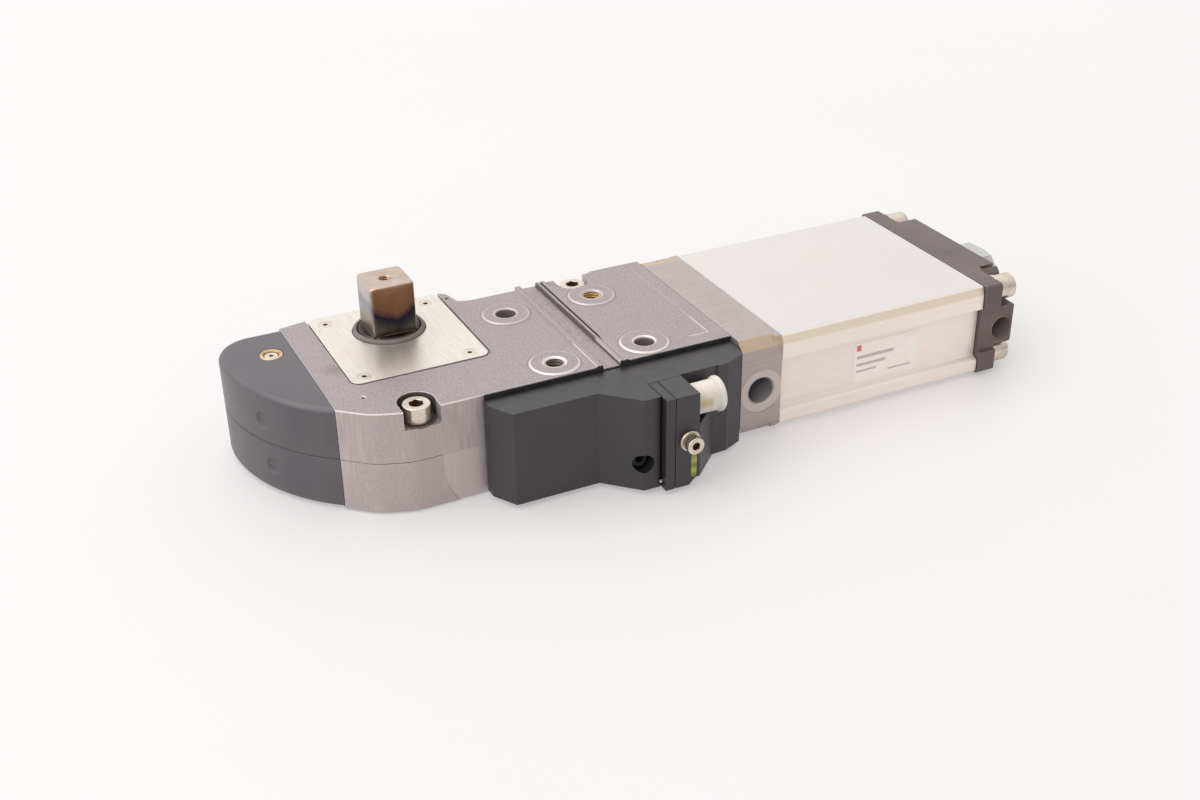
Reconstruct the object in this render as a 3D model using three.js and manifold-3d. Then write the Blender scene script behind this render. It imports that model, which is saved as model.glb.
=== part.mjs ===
import * as THREE from 'three';
import Module from 'manifold-3d';
import { mergeVertices } from 'three/addons/utils/BufferGeometryUtils.js';

// Flat oval-bore power clamp cylinder with a toggle linkage, lying on its mounting pads.
// Millimetres. Z is the clamp arm shaft, X runs along the cylinder, the pads' faces are at z = 0.

const wasm = await Module();
wasm.setup();

const GAP = 0.3;
const SEGMENTS = 16;
const WIDE_SEGMENTS = 20;
const SMALL_SEGMENTS = 12;

// overall levels
const MID_Z = 26.3;
const BODY_HALF = 25.6;
const PAD_RISE = 0.7;
const BODY_TOP = MID_Z + BODY_HALF;
const BODY_BOTTOM = MID_Z - BODY_HALF;
const PAD_TOP = BODY_TOP + PAD_RISE;
const TUBE_HALF = 24.4;
const CYL_Y = -27;

// stations along the cylinder
const NOSE_X = -44.3;
const BODY_END_X = 145.3;
const ROD_COVER_X = [145.6, 168.2];
const TUBE_X = [168.5, 287.7];
const HEAD_SLAB_X = [288, 298.1];
const HEAD_BLOCK_X1 = 312.5;
const HEAD_CENTRE_X1 = 309.5;
const PLUG_END_X = 329.5;
const PLUG_COLLAR_R = 17.4;

// mounting pattern
const PAD_X = [59.5, 106];
const PAD_Y = [0, -57.5];
const PAD_R = 11.5;
const DOWEL_R = 5;
const TAPPED_R = 4.4;
const MOUNT_DEPTH = 17;

// shaft and mechanism
const SHAFT_SQUARE = 22;
const SHAFT_AT = [3.5, 11.5];
const SHAFT_TOP = 79;
const JOURNAL_R = 15;
const BUSH_R = 17.5;
const LEVER_R = 25;
const LEVER_ANGLE = THREE.MathUtils.degToRad(-60);
const LINK_LENGTH = 28;
const PIN_R = 5;
const EYE_R = 8.5;
const KNUCKLE_R = 8;
const LEVER_ROOT_R = 15.5;
const ROLLER_R = 7.5;
const ROD_R = 9;
const STROKE = 46.1;
const CAVITY_Z = [9.5, 43.1];
const LOW_CHEEK_Z = [11.3, 18.9];
const HIGH_CHEEK_Z = [33.7, 41.3];
const LINK_Z = [19.2, 33.4];
const UPPER_PIN_Z = [33.7, 45.7];
const UPPER_ROLLER_Z = [41.6, 45.5];
const LEVER_PIN = [
  SHAFT_AT[0] + LEVER_R * Math.cos(LEVER_ANGLE),
  SHAFT_AT[1] + LEVER_R * Math.sin(LEVER_ANGLE),
];
const KNUCKLE_X = LEVER_PIN[0] + Math.sqrt(LINK_LENGTH ** 2 - (CYL_Y - LEVER_PIN[1]) ** 2);
const KNUCKLE_PIN = [KNUCKLE_X, CYL_Y];

// piston and tube
const TUBE_HALF_Y = 54;
const BORE_HALF_Y = 43;
const BORE_HALF_Z = 21;
const PISTON_X = [254, 280];
const BOLT_DY = 46;
const BOLT_DZ = 18;

const material = (color, roughness, metalness) =>
  new THREE.MeshStandardMaterial({ color, roughness, metalness });
const castAluminium = () => material(0x8f8984, 0.55, 0.8);
const darkPlastic = () => material(0x2e2e31, 0.45, 0);
const brushedSteel = () => material(0xc9c2b6, 0.35, 0.9);
const hardenedSteel = () => material(0x8b7a6c, 0.4, 0.9);
const plainSteel = () => material(0xa9a6a0, 0.35, 0.9);
const brass = () => material(0xb08d57, 0.35, 0.9);
const rubber = () => material(0x1c1c1c, 0.8, 0);
const blackAnodised = () => material(0x232327, 0.4, 0.4);
const clearAnodised = () => material(0xcfc9c2, 0.3, 0.8);
const darkCasting = () => material(0x4d4444, 0.6, 0.4);
const zinc = () => material(0xb9bdb2, 0.35, 0.9);
const bronze = () => material(0x9a6b3c, 0.45, 0.9);
const whitePlastic = () => material(0xe9e4da, 0.5, 0);
const labelFilm = () => material(0xe6e2df, 0.5, 0);
const amberLens = () => material(0xb5b04a, 0.2, 0);

function solid(geometry) {
  const g = geometry.clone();
  g.deleteAttribute('normal');
  g.deleteAttribute('uv');
  const welded = mergeVertices(g, 1e-4);
  const source = welded.index.array;
  const kept = [];
  for (let i = 0; i < source.length; i += 3) {
    const [a, b, c] = [source[i], source[i + 1], source[i + 2]];
    if (a !== b && b !== c && c !== a) {
      kept.push(a, b, c);
    }
  }
  const vertProperties = new Float32Array(welded.attributes.position.array);
  const triVerts = new Uint32Array(kept);
  return new wasm.Manifold(new wasm.Mesh({ numProp: 3, vertProperties, triVerts }));
}

// the same revolved profile, pointing the other way along its axis
const flipped = (profile) => profile.map(([r, h]) => [r, -h]).reverse();

function add(first, ...rest) {
  return rest.reduce((sum, piece) => sum.add(piece), first);
}

function cut(first, ...rest) {
  return rest.reduce((left, piece) => left.subtract(piece), first);
}

function mesh(name, shape, paint) {
  const data = shape.getMesh();
  const geometry = new THREE.BufferGeometry();
  geometry.setAttribute('position', new THREE.BufferAttribute(new Float32Array(data.vertProperties), 3));
  geometry.setIndex(new THREE.BufferAttribute(new Uint32Array(data.triVerts), 1));
  geometry.computeVertexNormals();
  const part = new THREE.Mesh(geometry, paint);
  part.name = name;
  return part;
}

function box(x, y, z) {
  const g = new THREE.BoxGeometry(x[1] - x[0], y[1] - y[0], z[1] - z[0]);
  g.translate((x[0] + x[1]) / 2, (y[0] + y[1]) / 2, (z[0] + z[1]) / 2);
  return solid(g);
}

function shapeOf(points) {
  return new THREE.Shape(points.map(([x, y]) => new THREE.Vector2(x, y)));
}

function prism(points, z) {
  const g = new THREE.ExtrudeGeometry(shapeOf(points), { depth: z[1] - z[0], bevelEnabled: false });
  g.translate(0, 0, z[0]);
  return solid(g);
}

function bevelledPrism(points, z, bevel) {
  const options = {
    depth: z[1] - z[0] - 2 * bevel,
    bevelEnabled: true,
    bevelThickness: bevel,
    bevelSize: bevel,
    bevelOffset: -bevel,
    bevelSegments: 2,
  };
  const g = new THREE.ExtrudeGeometry(shapeOf(points), options);
  g.translate(0, 0, z[0] + bevel);
  return solid(g);
}

// outline in the YZ plane pushed along X
function profileAlongX(points, x) {
  const g = new THREE.ExtrudeGeometry(shapeOf(points), { depth: x[1] - x[0], bevelEnabled: false });
  const toX = new THREE.Matrix4().makeBasis(
    new THREE.Vector3(0, 1, 0),
    new THREE.Vector3(0, 0, 1),
    new THREE.Vector3(1, 0, 0),
  );
  g.applyMatrix4(toX);
  g.translate(x[0], 0, 0);
  return solid(g);
}

// revolved [radius, height] profile about a line along the given axis through (at)
function turned(profile, axis, at, segments = SEGMENTS) {
  const g = new THREE.LatheGeometry(profile.map(([r, h]) => new THREE.Vector2(r, h)), segments);
  if (axis === 'z') {
    g.rotateX(Math.PI / 2);
  }
  if (axis === 'x') {
    g.rotateZ(-Math.PI / 2);
  }
  g.translate(at[0], at[1], at[2]);
  return solid(g);
}

const discProfile = (r, low, high) => [[0, low], [r, low], [r, high], [0, high]];

function disc(r, z, at, segments = SEGMENTS) {
  return turned(discProfile(r, z[0], z[1]), 'z', [at[0], at[1], 0], segments);
}

function rodX(r, x, at, segments = SEGMENTS) {
  return turned(discProfile(r, x[0], x[1]), 'x', [0, at[0], at[1]], segments);
}

function rodY(r, y, at, segments = SEGMENTS) {
  return turned(discProfile(r, y[0], y[1]), 'y', [at[0], 0, at[1]], segments);
}

function ringZ(inner, outer, z, at, segments = SEGMENTS) {
  return cut(disc(outer, z, at, segments), disc(inner, [z[0] - 1, z[1] + 1], at, segments));
}

// outline in X and Z, carried along Y
function prismY(points, y) {
  const g = new THREE.ExtrudeGeometry(shapeOf(points), { depth: y[1] - y[0], bevelEnabled: false });
  g.rotateX(Math.PI / 2);
  g.translate(0, y[1], 0);
  return solid(g);
}

function arc(cx, cy, r, from, to, steps) {
  const points = [];
  for (let i = 0; i <= steps; i++) {
    const a = THREE.MathUtils.degToRad(from + ((to - from) * i) / steps);
    points.push([cx + r * Math.cos(a), cy + r * Math.sin(a)]);
  }
  return points;
}

function roundedRectangle(x, y, r, steps = 3) {
  return [
    ...arc(x[1] - r, y[0] + r, r, -90, 0, steps),
    ...arc(x[1] - r, y[1] - r, r, 0, 90, steps),
    ...arc(x[0] + r, y[1] - r, r, 90, 180, steps),
    ...arc(x[0] + r, y[0] + r, r, 180, 270, steps),
  ];
}

// slot with full round ends, long side along the first coordinate
function obround(cx, cy, halfLong, halfShort, steps = 6) {
  const straight = halfLong - halfShort;
  return [
    ...arc(cx + straight, cy, halfShort, -90, 90, steps),
    ...arc(cx - straight, cy, halfShort, 90, 270, steps),
  ];
}

// outline round two circles of different size
function tangentHull(a, ra, b, rb, steps = 5) {
  const along = Math.atan2(b[1] - a[1], b[0] - a[0]);
  const span = Math.hypot(b[0] - a[0], b[1] - a[1]);
  const tilt = THREE.MathUtils.radToDeg(Math.acos((ra - rb) / span));
  const mid = THREE.MathUtils.radToDeg(along);
  return [
    ...arc(b[0], b[1], rb, mid - tilt, mid + tilt, steps),
    ...arc(a[0], a[1], ra, mid + tilt, mid + 360 - tilt, steps + 2),
  ];
}

const mirrorZ = (z) => [2 * MID_Z - z[1], 2 * MID_Z - z[0]];

// ---------------------------------------------------------------- cast body

const bodyOutline = () => [
  [-44, -53.3],
  [-38, -59],
  [-31.6, -64.2],
  [-24, -67.8],
  [-15.6, -70],
  [BODY_END_X, -70],
  [BODY_END_X, 26.5],
  [118, 26.5],
  [115.5, 25],
  [92, 25],
  [91, 26.5],
  [77, 26.5],
  [74, 23],
  [50, 23],
  [44, 25],
  [42, 35],
  [38, 38.2],
  [-30, 38.2],
  [-44, 35.8],
];

const nearScrewAt = [-9.6, -61.5];
const farScrewAt = [104.5, 19.3];
const SCREW_FLOOR_Z = 42.5;
const GROUND_FLAT_R = 29.5;
const GROUND_FLAT_AT = [27.3, 20.1];

function padAndHole(x, y, top) {
  const dowel = (x === PAD_X[0]) === (y === PAD_Y[0]);
  const radius = dowel ? DOWEL_R : TAPPED_R;
  const padZ = [BODY_TOP - 1, PAD_TOP];
  const holeZ = [PAD_TOP - MOUNT_DEPTH, PAD_TOP + 1];
  return {
    pad: disc(PAD_R, top ? padZ : mirrorZ(padZ), [x, y]),
    hole: disc(radius, top ? holeZ : mirrorZ(holeZ), [x, y], SMALL_SEGMENTS),
  };
}

const mechanismCavity = () => add(
  box([-37, 50], [-46, 18], CAVITY_Z),
  box([-37, 34], [-46, 29.5], CAVITY_Z),
  box([49, BODY_END_X + 1], [CYL_Y - 16.5, CYL_Y + 16.5], CAVITY_Z),
  box([22, 92], [-71, -43], [20, 32.6]),
);

function rollerGroove(z) {
  const clearance = ROLLER_R + 0.5;
  const x = [KNUCKLE_X - STROKE, KNUCKLE_X];
  const outline = obround((x[0] + x[1]) / 2, CYL_Y, (x[1] - x[0]) / 2 + clearance + 1, clearance, 5);
  return prism(outline, z);
}

function bodyHalf(top) {
  const side = (z) => (top ? z : mirrorZ(z));
  let half = prism(bodyOutline(), side([MID_Z + GAP / 2, BODY_TOP]));
  for (const x of PAD_X) {
    for (const y of PAD_Y) {
      half = half.add(padAndHole(x, y, top).pad);
    }
  }
  half = half.add(box([75.3, 78], [-70, 25.5], side([BODY_TOP - 1, PAD_TOP])));
  half = half.add(box([87, 91.5], [-70, 25.5], side([BODY_TOP - 1, PAD_TOP])));
  for (const x of PAD_X) {
    for (const y of PAD_Y) {
      half = half.subtract(padAndHole(x, y, top).hole);
    }
  }
  return cut(
    half,
    box([78, 87], [-71, 27], side([BODY_TOP - 1.6, BODY_TOP + 2])),
    mechanismCavity(),
    rollerGroove(side([42, 46.1])),
    disc(4.4, [8, 60], nearScrewAt, 12),
    disc(4.4, [8, 60], farScrewAt, 12),
  );
}

// round well for a screw head, open to the edge of the body
function screwWell(at, r, edgeY) {
  const z = [SCREW_FLOOR_Z, BODY_TOP + 1];
  const y = [Math.min(at[1], edgeY), Math.max(at[1], edgeY)];
  return disc(r, z, at).add(box([at[0] - r, at[0] + r], y, z));
}

const PLATE_X = [-29.8, 36.9];
const PLATE_Y = [-35.7, 37.6];
const PLATE_Z = [50.5, 52.2];
const PLATE_SCREW_X = [-22.7, 28.8];
const PLATE_SCREW_Y = [-29.6, 29.6];

function bodyUpperHalf() {
  const recess = roundedRectangle([PLATE_X[0] - 0.5, PLATE_X[1] + 1.3], [PLATE_Y[0] - 1, 60], 5.5);
  let half = cut(
    bodyHalf(true),
    screwWell(nearScrewAt, 8.6, -72),
    screwWell(farScrewAt, 8.2, 28),
    prism(recess, [PLATE_Z[0] - GAP, 60]),
    disc(BUSH_R + GAP, [40, 60], SHAFT_AT, WIDE_SEGMENTS),
  );
  for (const x of PLATE_SCREW_X) {
    for (const y of PLATE_SCREW_Y) {
      half = half.subtract(disc(1.9, [46.4, 60], [x, y], 10));
    }
  }
  return mesh('body_upper_half', half, castAluminium());
}

function bodyLowerHalf() {
  const half = cut(
    bodyHalf(false),
    disc(22.8, [-1, 3.3], SHAFT_AT, WIDE_SEGMENTS),
    disc(BUSH_R + GAP, [-1, 12], SHAFT_AT, WIDE_SEGMENTS),
    rodY(GROUND_FLAT_R, [-71, -69.5], GROUND_FLAT_AT, WIDE_SEGMENTS),
  );
  return mesh('body_lower_half', half, castAluminium());
}

// ---------------------------------------------------------------- nose cap

const capOutline = (inset) => [
  [-36, 35.8 - inset],
  ...arc(-59.6, 17.8, 18 - inset, 90, 177, 5),
  ...arc(6.1, 14.2, 84 - inset, 180, 233, 6),
  [-36, -59 + inset],
];

const CAP_INSERT_AT = [-54.6, 11.5];

function noseCap(name, top) {
  const shell = bevelledPrism(capOutline(0), [BODY_BOTTOM, BODY_TOP], 3.2);
  const hollow = prism(capOutline(3.5), [BODY_BOTTOM + 3.5, BODY_TOP - 3.5]);
  const boss = disc(8, [BODY_BOTTOM + 2, BODY_TOP - 2], CAP_INSERT_AT, 16);
  const keep = box([-90, NOSE_X], [-80, 60], top ? [MID_Z + 0.15, 60] : [-5, MID_Z - 0.15]);
  const seat = disc(5.8, top ? [BODY_TOP - 4, 60] : [-5, BODY_BOTTOM + 4], CAP_INSERT_AT, 16);
  const bore = disc(2.6, [-5, 60], CAP_INSERT_AT, 10);
  const half = cut(add(shell.subtract(hollow), boss), seat, bore).intersect(keep);
  return mesh(name, half, darkPlastic());
}

function capInsert(name, top) {
  const z = top ? [BODY_TOP - 3.7, BODY_TOP] : [BODY_BOTTOM, BODY_BOTTOM + 3.7];
  return mesh(name, ringZ(3.7, 5.5, z, CAP_INSERT_AT, 16), brass());
}

// socket screw along Z: profile heights run from the tip (0) to the head's top
function socketScrew(headR, headH, shankR, length, socketR, segments = 16) {
  const total = length + headH;
  return [
    [0, 0],
    [shankR, 0],
    [shankR, length],
    [headR, length],
    [headR, total - 0.5],
    [headR - 0.5, total],
    [socketR, total],
    [socketR, total - headH * 0.6],
    [0, total - headH * 0.6],
  ];
}

function capScrew(name, top) {
  const profile = socketScrew(3.4, 3, 2.2, 12, 1.2);
  const tipDepth = 15.6;
  const tipZ = top ? BODY_TOP - tipDepth : BODY_BOTTOM + tipDepth;
  const at = [...CAP_INSERT_AT, tipZ];
  return mesh(name, turned(top ? profile : flipped(profile), 'z', at, 12), plainSteel());
}

// ---------------------------------------------------------------- shaft seals

function sealPlate() {
  let plate = prism(roundedRectangle(PLATE_X, PLATE_Y, 4.5), PLATE_Z);
  plate = plate.subtract(disc(BUSH_R + GAP, [40, 60], SHAFT_AT, WIDE_SEGMENTS));
  for (const x of PLATE_SCREW_X) {
    for (const y of PLATE_SCREW_Y) {
      const seat = [[0, 50], [1.95, 50], [3.65, 52.2], [3.65, 53], [0, 53]];
      plate = plate.subtract(turned(seat, 'z', [x, y, 0], 12));
    }
  }
  return mesh('seal_plate', plate, brushedSteel());
}

function plateScrew(index, x, y) {
  const profile = [
    [0, 46.6],
    [1.6, 46.6],
    [1.6, 50.2],
    [3.25, 52.1],
    [1, 52.1],
    [1, 51],
    [0, 51],
  ];
  return mesh(`plate_screw_${index}`, turned(profile, 'z', [x, y, 0], 12), plainSteel());
}

const scraperRing = () => {
  const profile = [
    [15.3, 50.3], [17.5, 50.3], [17.5, 52.9], [16.9, 53.6], [16, 53.9], [15.3, 53.9], [15.3, 50.3],
  ];
  return mesh('shaft_scraper', turned(profile, 'z', [...SHAFT_AT, 0], WIDE_SEGMENTS), rubber());
};

const shaftBush = (name, z) =>
  mesh(name, ringZ(JOURNAL_R + GAP, BUSH_R, z, SHAFT_AT, WIDE_SEGMENTS), bronze());

const bottomCover = () => mesh('bottom_cover', disc(22.5, [0, 3], SHAFT_AT, WIDE_SEGMENTS), brushedSteel());

// ---------------------------------------------------------------- body screws

function bodyScrew(name, at) {
  const length = 29;
  const tipZ = SCREW_FLOOR_Z + GAP - length;
  const shape = turned(socketScrew(6.5, 8, 4, length, 3.5), 'z', [at[0], at[1], tipZ], SMALL_SEGMENTS);
  return mesh(name, shape, plainSteel());
}

// ---------------------------------------------------------------- linkage

function armShaft() {
  const h = SHAFT_SQUARE / 2;
  const c = 1.8;
  const square = [
    [h, -h + c], [h, h - c], [h - c, h], [-h + c, h],
    [-h, h - c], [-h, -h + c], [-h + c, -h], [h - c, -h],
  ].map(([x, y]) => [SHAFT_AT[0] + x, SHAFT_AT[1] + y]);
  const journal = disc(JOURNAL_R, [3.6, 54.2], SHAFT_AT, WIDE_SEGMENTS);
  const end = bevelledPrism(square, [44, SHAFT_TOP], 1);
  const lever = tangentHull(SHAFT_AT, LEVER_ROOT_R, LEVER_PIN, EYE_R);
  const body = add(journal, end, prism(lever, LOW_CHEEK_Z), prism(lever, HIGH_CHEEK_Z));
  const shape = cut(
    body,
    disc(2.75, [SHAFT_TOP - 14, SHAFT_TOP + 1], SHAFT_AT, 12),
    disc(PIN_R + GAP, [5, 50], LEVER_PIN, SMALL_SEGMENTS),
  );
  return mesh('arm_shaft', shape, hardenedSteel());
}

const CHEEKS_Z = [LOW_CHEEK_Z[0], HIGH_CHEEK_Z[1]];

const leverPin = () => mesh('lever_pin', disc(PIN_R, CHEEKS_Z, LEVER_PIN, SMALL_SEGMENTS), plainSteel());

function toggleLink() {
  const outline = tangentHull(LEVER_PIN, EYE_R, KNUCKLE_PIN, EYE_R);
  const shape = cut(
    prism(outline, LINK_Z),
    disc(PIN_R + GAP, [5, 50], LEVER_PIN, SMALL_SEGMENTS),
    disc(PIN_R + GAP, [5, 50], KNUCKLE_PIN, SMALL_SEGMENTS),
  );
  return mesh('toggle_link', shape, hardenedSteel());
}

function knuckle() {
  const cheek = [
    ...arc(KNUCKLE_X, CYL_Y, KNUCKLE_R, 90, 270, 7),
    [KNUCKLE_X + 21, CYL_Y - KNUCKLE_R],
    [KNUCKLE_X + 21, CYL_Y + KNUCKLE_R],
  ];
  const root = box([KNUCKLE_X + 18.5, KNUCKLE_X + 32], [CYL_Y - 9, CYL_Y + 9], CHEEKS_Z);
  const shape = cut(
    add(prism(cheek, LOW_CHEEK_Z), prism(cheek, HIGH_CHEEK_Z), root),
    disc(PIN_R + GAP, [5, 50], KNUCKLE_PIN, SMALL_SEGMENTS),
    rodX(7 + GAP, [KNUCKLE_X + 22, KNUCKLE_X + 40], [CYL_Y, MID_Z], 16),
  );
  return mesh('knuckle', shape, plainSteel());
}

const knucklePin = (name, z) => mesh(name, disc(PIN_R, z, KNUCKLE_PIN, SMALL_SEGMENTS), plainSteel());

const guideRoller = (name, z) => {
  const ring = ringZ(PIN_R + GAP, ROLLER_R, z, KNUCKLE_PIN, SMALL_SEGMENTS);
  return mesh(name, ring, hardenedSteel());
};

const STRIKER_X = 81;

function striker() {
  const foot = box([KNUCKLE_X + 19.5, STRIKER_X - 4], [CYL_Y - 15.3, CYL_Y - 9.3], [22.3, 30.3]);
  const blade = box([STRIKER_X - 9, STRIKER_X + 3], [-66, CYL_Y - 9.3], [23.8, 28.8]);
  return mesh('striker', foot.add(blade), plainSteel());
}

// ---------------------------------------------------------------- cylinder

function pistonRod() {
  const profile = [
    [0, KNUCKLE_X + 22.3],
    [7, KNUCKLE_X + 22.3],
    [7, KNUCKLE_X + 32.4],
    [ROD_R, KNUCKLE_X + 32.4],
    [ROD_R, PISTON_X[0] - 0.3],
    [6, PISTON_X[0] - 0.3],
    [6, PISTON_X[1] + 3.5],
    [0, PISTON_X[1] + 3.5],
  ];
  return mesh('piston_rod', turned(profile, 'x', [0, CYL_Y, MID_Z], 20), plainSteel());
}

function piston() {
  const full = obround(CYL_Y, MID_Z, BORE_HALF_Y - GAP, BORE_HALF_Z - GAP);
  const floor = obround(CYL_Y, MID_Z, BORE_HALF_Y - 3.4, BORE_HALF_Z - 3.4);
  const land = (x) => profileAlongX(full, x);
  const shape = add(
    land([PISTON_X[0], PISTON_X[0] + 9]),
    profileAlongX(floor, [PISTON_X[0] + 8.9, PISTON_X[1] - 8.9]),
    land([PISTON_X[1] - 9, PISTON_X[1]]),
  ).subtract(rodX(6.3, [PISTON_X[0] - 1, PISTON_X[1] + 1], [CYL_Y, MID_Z]));
  return mesh('piston', shape, clearAnodised());
}

function pistonRing() {
  const outer = obround(CYL_Y, MID_Z, BORE_HALF_Y - GAP, BORE_HALF_Z - GAP);
  const inner = obround(CYL_Y, MID_Z, BORE_HALF_Y - 3, BORE_HALF_Z - 3);
  const shape = profileAlongX(outer, [PISTON_X[0] + 9.3, PISTON_X[1] - 9.3])
    .subtract(profileAlongX(inner, [PISTON_X[0], PISTON_X[1]]));
  return mesh('piston_ring', shape, rubber());
}

const PORT_Z = 24;
const ROD_PORT_X = 157.3;
const HEAD_PORT_X = 302;
const PORT_R = 6.6;

const boltPoints = () => [
  [CYL_Y - BOLT_DY, MID_Z - BOLT_DZ],
  [CYL_Y - BOLT_DY, MID_Z + BOLT_DZ],
  [CYL_Y + BOLT_DY, MID_Z - BOLT_DZ],
  [CYL_Y + BOLT_DY, MID_Z + BOLT_DZ],
];

function boltHoles(x, r) {
  return boltPoints().map((at) => rodX(r, x, at, 12));
}

// rectangle in YZ with its long corners taken off
function chamferedSection(halfY, halfZ, cy, cz) {
  return [
    [CYL_Y - halfY + cy, MID_Z - halfZ], [CYL_Y + halfY - cy, MID_Z - halfZ],
    [CYL_Y + halfY, MID_Z - halfZ + cz], [CYL_Y + halfY, MID_Z + halfZ - cz],
    [CYL_Y + halfY - cy, MID_Z + halfZ], [CYL_Y - halfY + cy, MID_Z + halfZ],
    [CYL_Y - halfY, MID_Z + halfZ - cz], [CYL_Y - halfY, MID_Z - halfZ + cz],
  ];
}

function rodCover() {
  const [x0, x1] = ROD_COVER_X;
  const block = profileAlongX(chamferedSection(54.6, BODY_HALF, 4.5, 5), [x0, x1 - 3.4]);
  const step = profileAlongX(chamferedSection(54.2, TUBE_HALF + 0.5, 2, 4.6), [x1 - 4, x1]);
  const spot = rodY(11.5, [-90, -81.1], [ROD_PORT_X, PORT_Z]);
  const port = rodY(PORT_R, [-90, -62], [ROD_PORT_X, PORT_Z]);
  const shape = cut(
    block.add(step),
    spot,
    port,
    rodX(12.3, [ROD_COVER_X[0] - 1, 161], [CYL_Y, MID_Z]),
    rodX(ROD_R + 0.4, [160, 170], [CYL_Y, MID_Z]),
    ...boltHoles([ROD_COVER_X[0] + 5, 170], 4.4),
  );
  return mesh('rod_cover', shape, castAluminium());
}

function ringX(name, inner, outer, x, paint) {
  const shape = rodX(outer, x, [CYL_Y, MID_Z]).subtract(rodX(inner, [x[0] - 1, x[1] + 1], [CYL_Y, MID_Z]));
  return mesh(name, shape, paint);
}

const PANEL_Z = [11, 38.3];
const PANEL_DEPTH = 3.5;

function tubeSection() {
  const y = TUBE_HALF_Y;
  const low = MID_Z - TUBE_HALF;
  const high = MID_Z + TUBE_HALF;
  const half = [
    [y - 1.7, low],
    [y, low + 1.7],
    [y, PANEL_Z[0] - PANEL_DEPTH * 0.6],
    [y - PANEL_DEPTH, PANEL_Z[0]],
    [y - PANEL_DEPTH, PANEL_Z[1]],
    [y, PANEL_Z[1]],
    [y, high - 4.7],
    [y - 1.7, high],
  ];
  const far = half.map(([dy, z]) => [CYL_Y + dy, z]);
  const near = half.map(([dy, z]) => [CYL_Y - dy, z]).reverse();
  return [...far, ...near];
}

function cylinderTube() {
  const shape = cut(
    profileAlongX(tubeSection(), TUBE_X),
    profileAlongX(obround(CYL_Y, MID_Z, BORE_HALF_Y, BORE_HALF_Z), [TUBE_X[0] - 1, TUBE_X[1] + 1]),
    ...boltHoles([TUBE_X[0] - 1, TUBE_X[1] + 1], 4.4),
  );
  return mesh('cylinder_tube', shape, clearAnodised());
}

const labelPlate = () => {
  const face = CYL_Y - TUBE_HALF_Y + PANEL_DEPTH;
  return mesh('blank_label', box([212.5, 251], [face - 0.7, face - 0.3], [12, 34.5]), labelFilm());
};

function headCover() {
  const slab = profileAlongX(chamferedSection(55.3, TUBE_HALF + 0.2, 0.8, 0.8), HEAD_SLAB_X);
  const centre = profileAlongX(chamferedSection(38.4, TUBE_HALF + 0.2, 3, 3), [297, HEAD_CENTRE_X1]);
  const barTop = [
    [HEAD_SLAB_X[0], -80.4],
    [HEAD_BLOCK_X1 - 4, -80.4],
    [HEAD_BLOCK_X1, -76],
    [HEAD_BLOCK_X1, 22],
    [HEAD_BLOCK_X1 - 4, 26.4],
    [HEAD_SLAB_X[0], 26.4],
  ];
  const barSide = [
    [HEAD_SLAB_X[0] - 1, MID_Z - 10.6],
    [HEAD_BLOCK_X1 - 4.5, MID_Z - 10.6],
    [HEAD_BLOCK_X1, MID_Z - 6],
    [HEAD_BLOCK_X1, MID_Z + 6],
    [HEAD_BLOCK_X1 - 4.5, MID_Z + 10.6],
    [HEAD_SLAB_X[0] - 1, MID_Z + 10.6],
  ];
  const bar = prism(barTop, [MID_Z - 11, MID_Z + 11]).intersect(prismY(barSide, [-90, 40]));
  const pocket = box([HEAD_SLAB_X[0] - 1, HEAD_CENTRE_X1 - 6], [-84, -80.4], [MID_Z - 12.6, MID_Z + 12.2]);
  const shape = cut(
    add(slab, centre, bar),
    pocket,
    rodX(PLUG_COLLAR_R + GAP, [HEAD_CENTRE_X1, HEAD_BLOCK_X1 + 1], [CYL_Y, MID_Z], 24),
    rodY(PORT_R, [-90, -60], [HEAD_PORT_X, PORT_Z + 0.4]),
    ...boltHoles([HEAD_SLAB_X[0] - 1, HEAD_SLAB_X[1] + 1], 4.4),
  );
  return mesh('head_cover', shape, darkCasting());
}

function tieBolt(index, at) {
  const profile = [
    [0, ROD_COVER_X[0] + 6],
    [4, ROD_COVER_X[0] + 6],
    [4, 298.4],
    [6.9, 298.4],
    [6.9, 300.3],
    [6.5, 300.3],
    [6.5, 309.2],
    [6, 309.7],
    [3.4, 309.7],
    [3.4, 305],
    [0, 305],
  ];
  return mesh(`tie_bolt_${index}`, turned(profile, 'x', [0, at[0], at[1]], SMALL_SEGMENTS), plainSteel());
}

function headPlug() {
  const hexagon = arc(CYL_Y, MID_Z, 19.2, 0, 300, 5);
  const collar = rodX(PLUG_COLLAR_R, [HEAD_CENTRE_X1 + GAP, HEAD_BLOCK_X1 + 1], [CYL_Y, MID_Z], 24);
  const plug = add(collar, profileAlongX(hexagon, [HEAD_BLOCK_X1 + GAP, PLUG_END_X]));
  return mesh('head_plug', plug, zinc());
}

// ---------------------------------------------------------------- switch unit

const BLOCK_Z = [2.4, 49.6];
const SWITCH_X = [95.5, 107.5];
const SWITCH_FRONT = -109;
const BLOCK_BACK = -71.1;

function switchGasket() {
  // the top edge follows the two ridges and the channel of the body
  const outline = [
    [19.2, 3.4],
    [144.8, 3.4],
    [144.8, 51.6],
    [92, 51.6],
    [91.2, 52.3],
    [87.3, 52.3],
    [86.6, 50],
    [78.4, 50],
    [77.8, 52.3],
    [75.4, 52.3],
    [74.6, 51.6],
    [19.2, 51.6],
  ];
  const shape = cut(
    prismY(outline, [BLOCK_BACK + GAP, -70 - GAP]),
    box([25.2, 92], [-72, -69], [19, 33.6]),
  );
  return mesh('switch_gasket', shape, rubber());
}

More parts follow.
